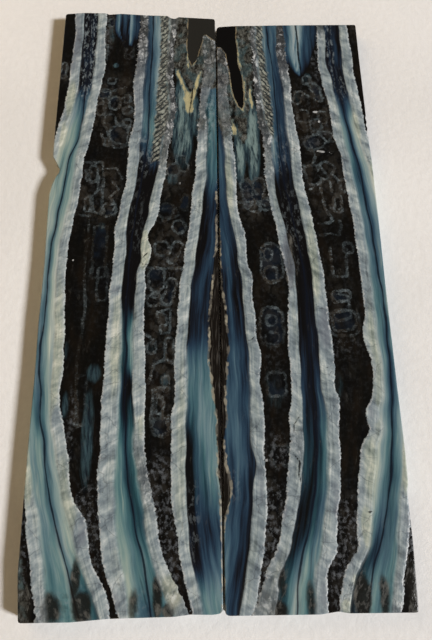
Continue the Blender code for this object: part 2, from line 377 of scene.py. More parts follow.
LEFT_PATTERN = SlabPattern(
    bands=(
        EnamelBand(
            (
                (64, -31.3, -29.1), (57.5, -30.9, -28.95), (50, -31.3, -29.2), (45, -31.5, -29.25),
                (40, -31.9, -29.7), (36, -32.5, -30.5), (31, -33.5, -31.4), (26, -34.3, -32.6),
                (20, -35.4, -33.9), (5, -36.6, -34.9), (-20, -36.6, -34.9), (-33, -35.9, -34.1),
                (-40, -34.9, -33.3), (-46, -33.6, -31.4), (-50, -33.1, -30.8), (-55, -32.1, -29.9),
                (-59, -31.3, -29.2), (-64, -30.5, -28.5),
            ),
            Side.LEFT,
            ((64, 0), (-50, 0), (-58, 0.3), (-64, 0.55)),
        ),
        EnamelBand(
            (
                (64, -26, -23.7), (60, -25.8, -23.8), (55, -25.9, -23.9), (50, -26, -23.5),
                (45, -26.25, -23.9), (40, -26.7, -24.75), (35, -27.5, -25.25), (30, -28.1, -25.9),
                (25, -28.8, -26.9), (20, -29.1, -27.3), (15, -29.4, -27.75), (10, -30.3, -28.5),
                (5, -31, -29.1), (0, -31.2, -29.25), (-5, -31.2, -29.2), (-10, -30.9, -28.9),
                (-15, -30.6, -28.7), (-20, -30.6, -28.5), (-28, -30.5, -28.6), (-30, -30.3, -27.95),
                (-35, -29.2, -27), (-38, -28.6, -26.3), (-40, -28.2, -26.2), (-45, -27, -24.7),
                (-47, -26.2, -23.1), (-50, -25.2, -22.4), (-55, -23.4, -21.2), (-58, -22, -19.4),
                (-60, -21, -18.6), (-64, -19.5, -17.7),
            ),
            Side.RIGHT,
            ((64, 0), (-44, 0), (-52, 0.12), (-64, 0.12)),
        ),
        EnamelBand(
            (
                (64, -16.3, -14.1), (60, -16.1, -14.2), (55, -16.5, -14.1), (50, -16.6, -14.5),
                (45, -17.1, -14.9), (40, -17.1, -15), (35, -16.75, -14.9), (30, -17.5, -15.3),
                (25, -17.9, -15.5), (20, -18, -15.8), (15, -18.9, -16.6), (12, -19.4, -17.3), (8, -20, -17.6),
                (3, -20, -17.55), (0, -20.1, -17.8), (-4, -20.5, -18.1), (-10, -20.6, -18),
                (-15, -20.9, -17.8), (-20, -20.9, -17.9), (-25, -21.1, -17.9), (-30, -21.2, -18),
                (-35, -21.1, -18), (-40, -21.3, -18.2), (-45, -21, -17.9), (-50, -20.5, -17.5),
                (-53, -20, -17), (-56, -19.3, -16.1), (-60, -17.75, -15.3), (-64, -16.4, -14.8),
            ),
            Side.LEFT,
            (
                (64, 0.95), (54, 0.75), (46, 0.4), (40, 0.1), (30, 0), (-54, 0.05), (-64, 0.35),
            ),
        ),
        EnamelBand(
            (
                (64, -9.5, -7.3), (60, -9.1, -7.5), (55, -9.5, -8.1), (50, -9.6, -8.25), (45, -9.75, -8.25),
                (40, -9.25, -7.75), (35, -9.4, -7.75), (30, -10.4, -8.5), (25, -11, -9.25),
                (20, -11.75, -9.9), (15, -12.9, -10.8), (12, -13.1, -11), (9, -13.9, -12.1),
                (7.2, -14.2, -13.1), (4, -14.7, -12.5), (1, -14.5, -12.8), (-0.5, -15, -13.4),
                (-5, -15.4, -13.4), (-10, -15.6, -13.6), (-15, -15.7, -13.4), (-20, -15.5, -13.1),
                (-25, -15.5, -13), (-30, -14.9, -13), (-35, -15, -12.9), (-40, -14.1, -12.1), (-45, -13, -11),
                (-50, -12.4, -10.1), (-55, -11, -8.75), (-58, -9.8, -7), (-60, -8.9, -6), (-64, -6.8, -4),
            ),
            Side.RIGHT,
            (
                (64, 0.75), (50, 0.9), (35, 0.75), (24, 0.6), (18, 0.1), (0, 0), (-30, 0.05), (-35, 0.35),
                (-40, 0.6), (-45, 0.4), (-50, 0.15), (-54, 0.15), (-60, 0.45), (-64, 0.3),
            ),
        ),
        EnamelBand(
            (
                (64, -1.6, 0), (57, -1.8, 0.2), (53, -2.3, 1.3), (50, -1.8, 1.3), (45, -1.9, 1.1),
                (40, -2.6, -0.9), (35, -2.85, -1.15), (30, -3.1, -0.9), (25, -3.4, -1.25), (20, -3.75, -1.3),
                (15, -4.4, -2), (10, -4.75, -2.5), (5, -5.5, -3.25), (0, -6.1, -3.8), (-5, -6.9, -4.55),
                (-10, -7.15, -4.9), (-15, -7.5, -5.3), (-20, -7.75, -5.4), (-25, -7.6, -5.25),
                (-30, -8.2, -5.5), (-35, -8.2, -5.45), (-40, -8.25, -5.6), (-45, -8, -5.3), (-50, -7.1, -5),
                (-55, -6.4, -4.4), (-60, -5, -3), (-64, -4.3, -2.5),
            ),
            Side.LEFT,
            (
                (64, 0.9), (50, 0.75), (42, 0.4), (36, 0.6), (31, 0.45), (27, 0), (-50, 0), (-64, 0.15),
            ),
        ),
    ),
    fields=(
        DentineField(
            fissure=(
                (64, -27.6), (50, -27.4), (42, -27.6), (35, -27.9), (30, -28.6), (25, -30.1), (20, -30.65),
                (15, -31.5), (10, -31.9), (5, -32.5), (-10, -32.8), (-20, -33.1), (-25, -32.5), (-30, -32.1),
                (-35, -31), (-40, -30.4), (-45, -29.1), (-50, -27.6), (-55, -25.75), (-64, -23),
            ),
            dye=(
                (64, 1.05, 1, 1.05, 0), (55, 0.9, 0.95, 1, 0), (50, 0.85, 0.85, 1, 0),
                (44, 0.9, 0.95, 0.95, 0), (40, 0.55, 0.68, 0.5, 0.2), (36, 0.28, 0.65, 0.3, 0.4),
                (30, 0.14, 0.54, 0.28, 0.7), (25, 0.13, 0.5, 0.28, 0.8), (18, 0.06, 0.47, 0.18, 0.8),
                (10, 0.1, 0.42, 0.1, 0.7), (0, 0.12, 0.42, 0.15, 0.6), (-15, 0.14, 0.52, 0.15, 0.6),
                (-25, 0.3, 0.58, 0.12, 0.5), (-35, 0.26, 0.5, 0.14, 0.6), (-45, 0.24, 0.48, 0.2, 0.6),
                (-52, 0.24, 0.45, 0.3, 0.7), (-58, 0.34, 0.45, 0.7, 0.8), (-64, 0.45, 0.42, 0.85, 0.7),
            ),
        ),
        DentineField(
            fissure=(
                (64, -13.1), (50, -13.2), (42, -13.6), (30, -13.6), (20, -14.8), (10, -16), (0, -16.8),
                (-10, -17.1), (-20, -16.7), (-28, -16.8), (-35, -16.4), (-40, -16), (-45, -15), (-50, -14),
                (-56, -12.5), (-64, -11),
            ),
            dye=(
                (64, 0.72, 0.46, 0.16, 0.2), (55, 0.74, 0.48, 0.2, 0.3), (45, 0.8, 0.52, 0.2, 0.3),
                (38, 0.8, 0.54, 0.16, 0.3), (33, 0.66, 0.5, 0.15, 0.4), (28, 0.85, 0.6, 0.35, 0.3),
                (24, 1, 0.9, 0.7, 0.3), (20, 1.1, 1.15, 1.1, 0), (0, 1.15, 1.2, 1.15, 0),
                (-8, 1, 1.15, 1, 0.5), (-12, 0.62, 0.95, 0.45, 1), (-20, 0.55, 0.84, 0.4, 1),
                (-23, 0.3, 1.05, 1, 0.6), (-28, 0.3, 1, 0.85, 0.8), (-34, 0.28, 0.75, 0.55, 0.9),
                (-38, 0.28, 0.82, 0.5, 0.9), (-43, 0.34, 0.8, 0.5, 0.9), (-48, 0.3, 0.66, 0.75, 0.8),
                (-53, 0.32, 0.42, 0.55, 0.8), (-58, 0.3, 0.5, 0.65, 0.8), (-62, 0.3, 0.7, 0.4, 0.6),
            ),
        ),
        DentineField(
            fissure=SEAM_LINE,
            dye=(
                (60, 0.7, 0.6, 0.7, 0.3), (40, 0.7, 0.5, 0.7, 0.4), (35, 0.75, 0.45, 0.7, 0.7),
                (30, 0.8, 0.5, 0.6, 0.8), (25, 0.8, 0.5, 0.65, 0.7), (20, 0.8, 0.5, 0.7, 0.5),
                (15, 1, 0.7, 0.95, 0.1), (5, 1.1, 0.75, 1, 0), (-5, 1, 0.74, 0.92, 0),
                (-15, 1, 0.68, 0.92, 0.1), (-19, 0.6, 0.55, 0.5, 0.4), (-25, 0.6, 0.5, 0.3, 0.6),
                (-30, 0.8, 0.45, 0.36, 0.6), (-35, 1.1, 0.5, 0.42, 0.6), (-40, 1.2, 0.6, 0.3, 0.6),
                (-45, 1.15, 0.7, 0.45, 0.4), (-50, 1, 0.88, 0.65, 0), (-55, 1, 0.75, 0.5, 0.1),
                (-60, 0.5, 0.45, 0.45, 0.6), (-64, 0.5, 0.45, 0.5, 0.7),
            ),
        ),
    ),
    tip=DentineTip(
        edges=(
            (64, -21.9, -15.6), (58, -21.8, -15.9), (55.5, -20.9, -16.4), (53.4, -19.6, -17.6),
        ),
        stops=(
            (0, 0.6), (0.12, 0.6), (0.18, 0.25), (0.24, 0.95), (0.3, 0.7), (0.45, 0.62), (0.53, 1),
            (0.58, 0.22), (0.68, 0.6), (0.85, 0.8), (1, 0.85),
        ),
    ),
    seam=Side.RIGHT,
    loops_a=cell_loops(
        (-19.9, 30, 2, 2.8, 1.9), (-21.2, 38.6, 1.1, 1.7, 1), (-23.6, 41, 1.3, 1.2, 0.8),
        (-18.3, 39.6, 0.7, 1, 0.6), (-18.2, 36.6, 0.9, 0.9, 0.7), (-32.8, 47.3, 0.6, 2, 0.6),
        (-21.3, 12.6, 1.2, 1.3, 0.4), (-22.9, 3.2, 1.35, 5.6, 0.6), (-9.6, 12.2, 1.5, 1.6, 1.2),
        (-6.9, 8.6, 1.3, 1.5, 1, 25), (-5.8, 14.1, 0.8, 1.7, 0.3, -14), (-11.4, -2.8, 1.6, 2.5, 1.4),
        (-8.7, -5.4, 0.9, 2.8, 0.8, -14), (-11.7, -7.1, 1.3, 1.2, 0.9), (-10.2, -31.6, 1.5, 1.6, 1),
        (-24.2, 52, 0.9, 2.4, 0.8), (-22.6, 60.4, 0.6, 1.1, 0.5), (-8.3, 21.9, 1.4, 1.4, 1.1),
        (-6.3, 23.2, 1, 2, 0.8, 12),
    ),
    loops_b=cell_loops(
        (-18.3, 33.2, 0.9, 1.1, 0.8), (-22.4, 28.6, 0.8, 0.8, 0.6), (-24.1, 37, 0.9, 1.4, 0.8),
        (-24.9, 21, 0.8, 1.9, 0.6), (-25.6, 14, 0.8, 1.8, 0.7), (-25, -26.5, 0.9, 4.6, 0.6),
        (-22, -3.6, 1, 3.6, 0.9), (-10.4, 3.8, 1.4, 1.5, 1), (-7.8, 3, 0.9, 2.4, 0.8, -24),
        (-9.9, -11.2, 0.6, 1.1, 0.3, 9), (-12.1, -16.8, 0.9, 1, 0.6), (-8.6, -17.2, 0.8, 2.4, 0.7),
        (-9.2, -23.6, 0.6, 1.4, 0.5), (-10.4, -27.6, 0.6, 1.6, 0.4), (-24.4, 56.8, 0.5, 1.4, 0.4),
        (-18.4, 52.5, 1, 2.2, 0.9), (-21.9, 44.4, 0.9, 0.7, 0.6),
    ),
    walls=(
        ((-24.4, 41.8), (-22.6, 41.4), (-20.6, 42), (-18.8, 42.6)),
        ((-23.8, 39.2), (-23.1, 36.3), (-23.3, 33.3), (-22.1, 30.4), (-21, 28.5), (-17.8, 27.8)),
        ((-22.9, 35.8), (-21, 35.4), (-20.6, 33.3), (-17.5, 32.7)),
        ((-23.7, 30.7), (-22.6, 28), (-21.4, 28.8)),
        ((-27.4, 23.9), (-23, 23.7), (-22.8, 19.4), (-22.8, 15.7), (-23, 12.1)),
        ((-22.8, 22.3), (-20.1, 22.3), (-18.8, 19.8)), ((-26.7, 22.1), (-26.2, 19.4)),
        ((-21, 19.4), (-19.6, 17.3), (-21.2, 15.5), (-19.9, 13.5), (-21, 11.9)),
        ((-24, 20.7), (-23.7, 17.1), (-25.3, 15.3), (-25.1, 12.5), (-22.8, 11.6)),
        ((-28.3, 11.6), (-25.1, 11.2)),
        ((-25.3, 10.3), (-25.3, 5.7), (-25.8, 1.2), (-25.1, -9.4), (-26.2, -20.7), (-25.3, -31.6)),
        ((-21.5, 8.9), (-21.7, 3.5), (-21.5, -0.6)),
        ((-10.5, 12.5), (-7.8, 13), (-6.9, 11.2), (-10.1, 9.8), (-11, 11.6)),
        ((-13.3, -0.2), (-10.5, -0.6), (-6.9, -0.4), (-4.6, -1.5)),
        ((-13.3, -6.2), (-10.5, -6.9), (-9.9, -6)),
        ((-11.2, -9.6), (-8.5, -8.9), (-8.7, -13.9), (-10.3, -13.9), (-11.2, -9.6)),
        ((-13.3, -13.9), (-11.2, -15.5)), ((-12.4, -23.5), (-11.5, -19.8), (-9.2, -18.9), (-8.3, -19.8)),
        ((-11.2, -25.3), (-9.6, -27.1), (-9.9, -29.8)),
        ((-9.2, -24.1), (-11.7, -24.8), (-11.9, -31.6), (-10.1, -33.2), (-8.5, -32.5), (-8.7, -29.4)),
    ),
    cell_spots=soft_spots(
        (-21, 37, 5, 9, 1), (-23.5, 17, 4.5, 7, 0.9), (-24, -6, 3, 7, 0.3), (-9, 21, 4, 5, 0.8),
        (-9, 3, 4, 7, 0.9), (-10, -16, 3, 16, 0.9), (-9, -48, 4, 14, 0.7), (-23.5, 58, 1.8, 6, 0.9),
        (-22, -47, 3, 6, 0.6), (-28, 55, 1.5, 9, 0.9), (-26, -33, 1.5, 9, 0.5), (-4, -52, 1.2, 9, 0.5),
        (-32.8, 47, 1.2, 3.5, 1),
    ),
    grit=soft_spots(
        (-10.5, -42, 2.4, 5.5, 1), (-9.5, -53, 3.4, 9, 1.3), (-23, -46, 2.2, 5, 0.9), (-21, -55, 1.6, 8, 0.7),
        (-26.6, -33, 0.7, 9, 0.7), (-34, -55, 1.4, 8, 1.3), (-23.4, 58, 1.4, 6, 0.7),
        (-18.5, 52, 1.2, 3, 0.5), (-9.8, 25.5, 1, 3, 0.6), (-8.6, -0.5, 3, 4, 0.35),
    ),
    flecks=soft_spots(
        (-27, 57, 1.6, 9, 1.6), (-27.6, 44, 1.6, 5, 1.2), (-15.6, 12, 1.6, 11, 0.35), (-14.5, 26, 2, 6, 0.6),
        (-24.5, -61, 3.5, 4, 0.5), (-31.5, -60, 3, 4, 0.6), (-4.2, -48, 1.4, 8, 0.4), (-13, -61, 2.5, 3, 0.4),
        (-0.9, 36, 1.6, 9, 0.8),
    ),
    stains=soft_spots(
        (-21.25, 48.5, 0.6, 0.6, 1), (-22.8, -21.5, 1.4, 1.8, 0.7), (-23.4, -33.5, 1.1, 8.5, 0.72),
        (-27.8, -27.5, 0.7, 2.6, 0.6), (-28.2, -17, 0.6, 2.2, 0.4), (-6.3, 30.5, 1.9, 7.5, 1.6),
        (-6.6, 38.5, 1.2, 6, 1.7), (-3.4, 35, 0.9, 4.5, 1.3), (-7.2, 47.5, 0.7, 2.5, 0.9),
        (-8.3, 19.6, 1.3, 1.5, 0.6), (-12.2, -16.8, 1, 1.2, 0.4), (-9.4, -23, 0.9, 1.4, 0.6),
        (-22.6, 8.7, 0.9, 1.3, 0.4), (-22.4, 57, 0.8, 2.4, 0.6),
    ),
    creams=soft_spots(
        (-31, 41, 1.1, 4.5, 1), (-25, 58, 1, 3, 0.4), (-13.7, 3.4, 0.9, 3.4, 2.4), (-30, -17, 1.5, 12, 0.6),
        (-19, -16, 1, 9, 0.5), (-7.5, -58.5, 1.6, 2.5, 1), (-26, -42, 2, 8, 0.5), (-33.5, -40, 0.8, 5, 0.8),
        (-22, -61.5, 1, 0.9, 1.2), (-33.3, 13, 0.9, 8, 0.8), (-31.8, 29, 0.7, 4, 0.9),
        (-6.9, -36, 1.2, 14, 0.3), (-13.7, -29, 0.7, 5, 0.5),
    ),
    lilacs=soft_spots(
        (-31, 55, 2, 11, 1), (-24.8, 51, 1, 9, 0.6), (-15.8, 46, 1.4, 16, 0.9), (-8.8, 40, 1.2, 10, 0.7),
        (-1.2, 44, 2, 10, 0.7), (-2.2, 33, 1, 5, 0.5), (-19.2, -4.8, 0.9, 1.1, 0.9),
        (-14, -27.5, 0.8, 2, 0.8), (-19.6, -33, 1, 3, 0.4), (-23.6, -49.5, 1.1, 2.6, 0.9),
        (-13.2, -41, 0.8, 3, 0.6), (-18.5, -49.5, 0.8, 2.5, 0.4), (-17.6, -60.5, 1.2, 1.6, 0.9),
        (-29.4, -29.5, 0.6, 2, 0.4),
    ),
    smudges=soft_spots(
        (-28.2, -61.4, 1.6, 2.4, 1.3), (-24.2, -57, 0.8, 3.2, 1.2), (-22.9, -61.2, 1.6, 2.4, 1.5),
        (-33, -61.6, 1.8, 3.2, 1.2), (-14.3, -61.2, 0.8, 2.6, 0.9), (-10.3, -59.8, 0.8, 3.4, 1.2),
        (-8.3, -61.9, 1, 1.2, 1.3),
    ),
    ribs=(
        (
            (-11.6, 64), (-9.3, 64), (-9.6, 50), (-9.8, 44), (-9.2, 38), (-9.3, 33), (-10.6, 29), (-11.2, 24),
            (-13, 23.5), (-12.6, 30), (-12.2, 36), (-12, 42), (-11.4, 50), (-11.4, 57),
        ),
    ),
    gravel=(
        (
            (-8.3, 64), (-4.9, 64), (-4.9, 55), (-4.5, 49), (-3.2, 49), (-2.6, 55), (-1.6, 57), (0.2, 57),
            (1.6, 53), (1.6, 42), (-2.6, 42), (-3.4, 44), (-4.2, 41), (-5.3, 43), (-6.6, 46), (-8.3, 48),
        ),
        ((-3.3, 34.6), (-0.9, 34.6), (-1, 31), (-3.1, 31.2)),
        ((-34.9, -48.5), (-33.9, -52), (-33, -57), (-31.6, -63.5), (-34.9, -63.5)),
    ),
    void=(
        (-5, 64), (1.6, 64), (1.6, 54.6), (0.2, 55.6), (-1, 56.8), (-1.6, 56.6), (-2.4, 53), (-3.1, 50),
        (-4.3, 48.2), (-5.1, 50.5), (-5.3, 55), (-5, 58),
    ),
    yellow=(
        (
            (-7.3, 46.9, 0.4), (-7, 45.2, 0.45), (-6.3, 43, 0.35), (-5.6, 41.2, 0.5), (-5.2, 39.4, 0.8),
            (-5.1, 37.2, 0.6), (-5.1, 35.4, 0.2),
        ),
        (
            (-2.3, 46.6, 0.15), (-2.8, 44.6, 0.35), (-3.4, 42.4, 0.35), (-4, 40.6, 0.5), (-4.2, 38.4, 0.5),
            (-4.4, 36.2, 0.25),
        ),
        ((-4.9, 52, 0.1), (-5.3, 49.6, 0.18), (-4.9, 47.6, 0.15)),
        ((-3.2, 52, 0.1), (-3.4, 50, 0.15), (-4.2, 48, 0.1)),
    ),
    cracks=(
        ((-4.2, 42.2, 0.2), (-4.3, 39, 0.22), (-4.7, 36.4, 0.15), (-5, 34, 0.1)),
        ((-16.8, 35.5, 0.06), (-15, 34.8, 0.08)), ((-6, 1.6, 0.04), (-5, 1.2, 0.08), (-4.3, 0.4, 0.04)),
        ((-14.3, 1.7, 0.06), (-13.6, 2.6, 0.12), (-12.8, 3.2, 0.06)),
        ((-14.8, 0.9, 0.1), (-13.8, 0.3, 0.12), (-12.8, 0.6, 0.1)), ((-7, -13.5, 0.04), (-5.3, -14.1, 0.06)),
        ((-7.3, -24.7, 0.04), (-6.2, -25.7, 0.08), (-5.3, -26.4, 0.05)),
        ((-24, -53.6, 0.05), (-22, -54.1, 0.08)), ((-21, -42.6, 0.1), (-20, -42.9, 0.05)),
        ((-18.6, 61.5, 0.08), (-18.9, 58, 0.14), (-19, 55, 0.1)),
        ((-2.4, 43, 0.06), (-0.8, 41.4, 0.1), (0.6, 41, 0.05)), ((-3.2, 33.6, 0.06), (-1.4, 31.6, 0.1)),
        ((-17.1, 61, 0.05), (-16.8, 57, 0.06)),
    ),
    specks=cell_loops(
        (-6.75, 18.5, 0.3, 0.25, 0.2), (-28.1, 1.5, 0.25, 0.25, 0.2),
    ),
    bead_line=(
        (20, 0.85), (10, 0.7), (5, 0.6), (0, 0), (-5, -0.35), (-10, -0.95), (-15, -1.1), (-20, -1.1),
        (-25, -0.5), (-30, 0.1), (-35, 0.1), (-40, 0.3), (-45, 0.6), (-64, 0.7),
    ),
    fill_ends=(4, -47),
)

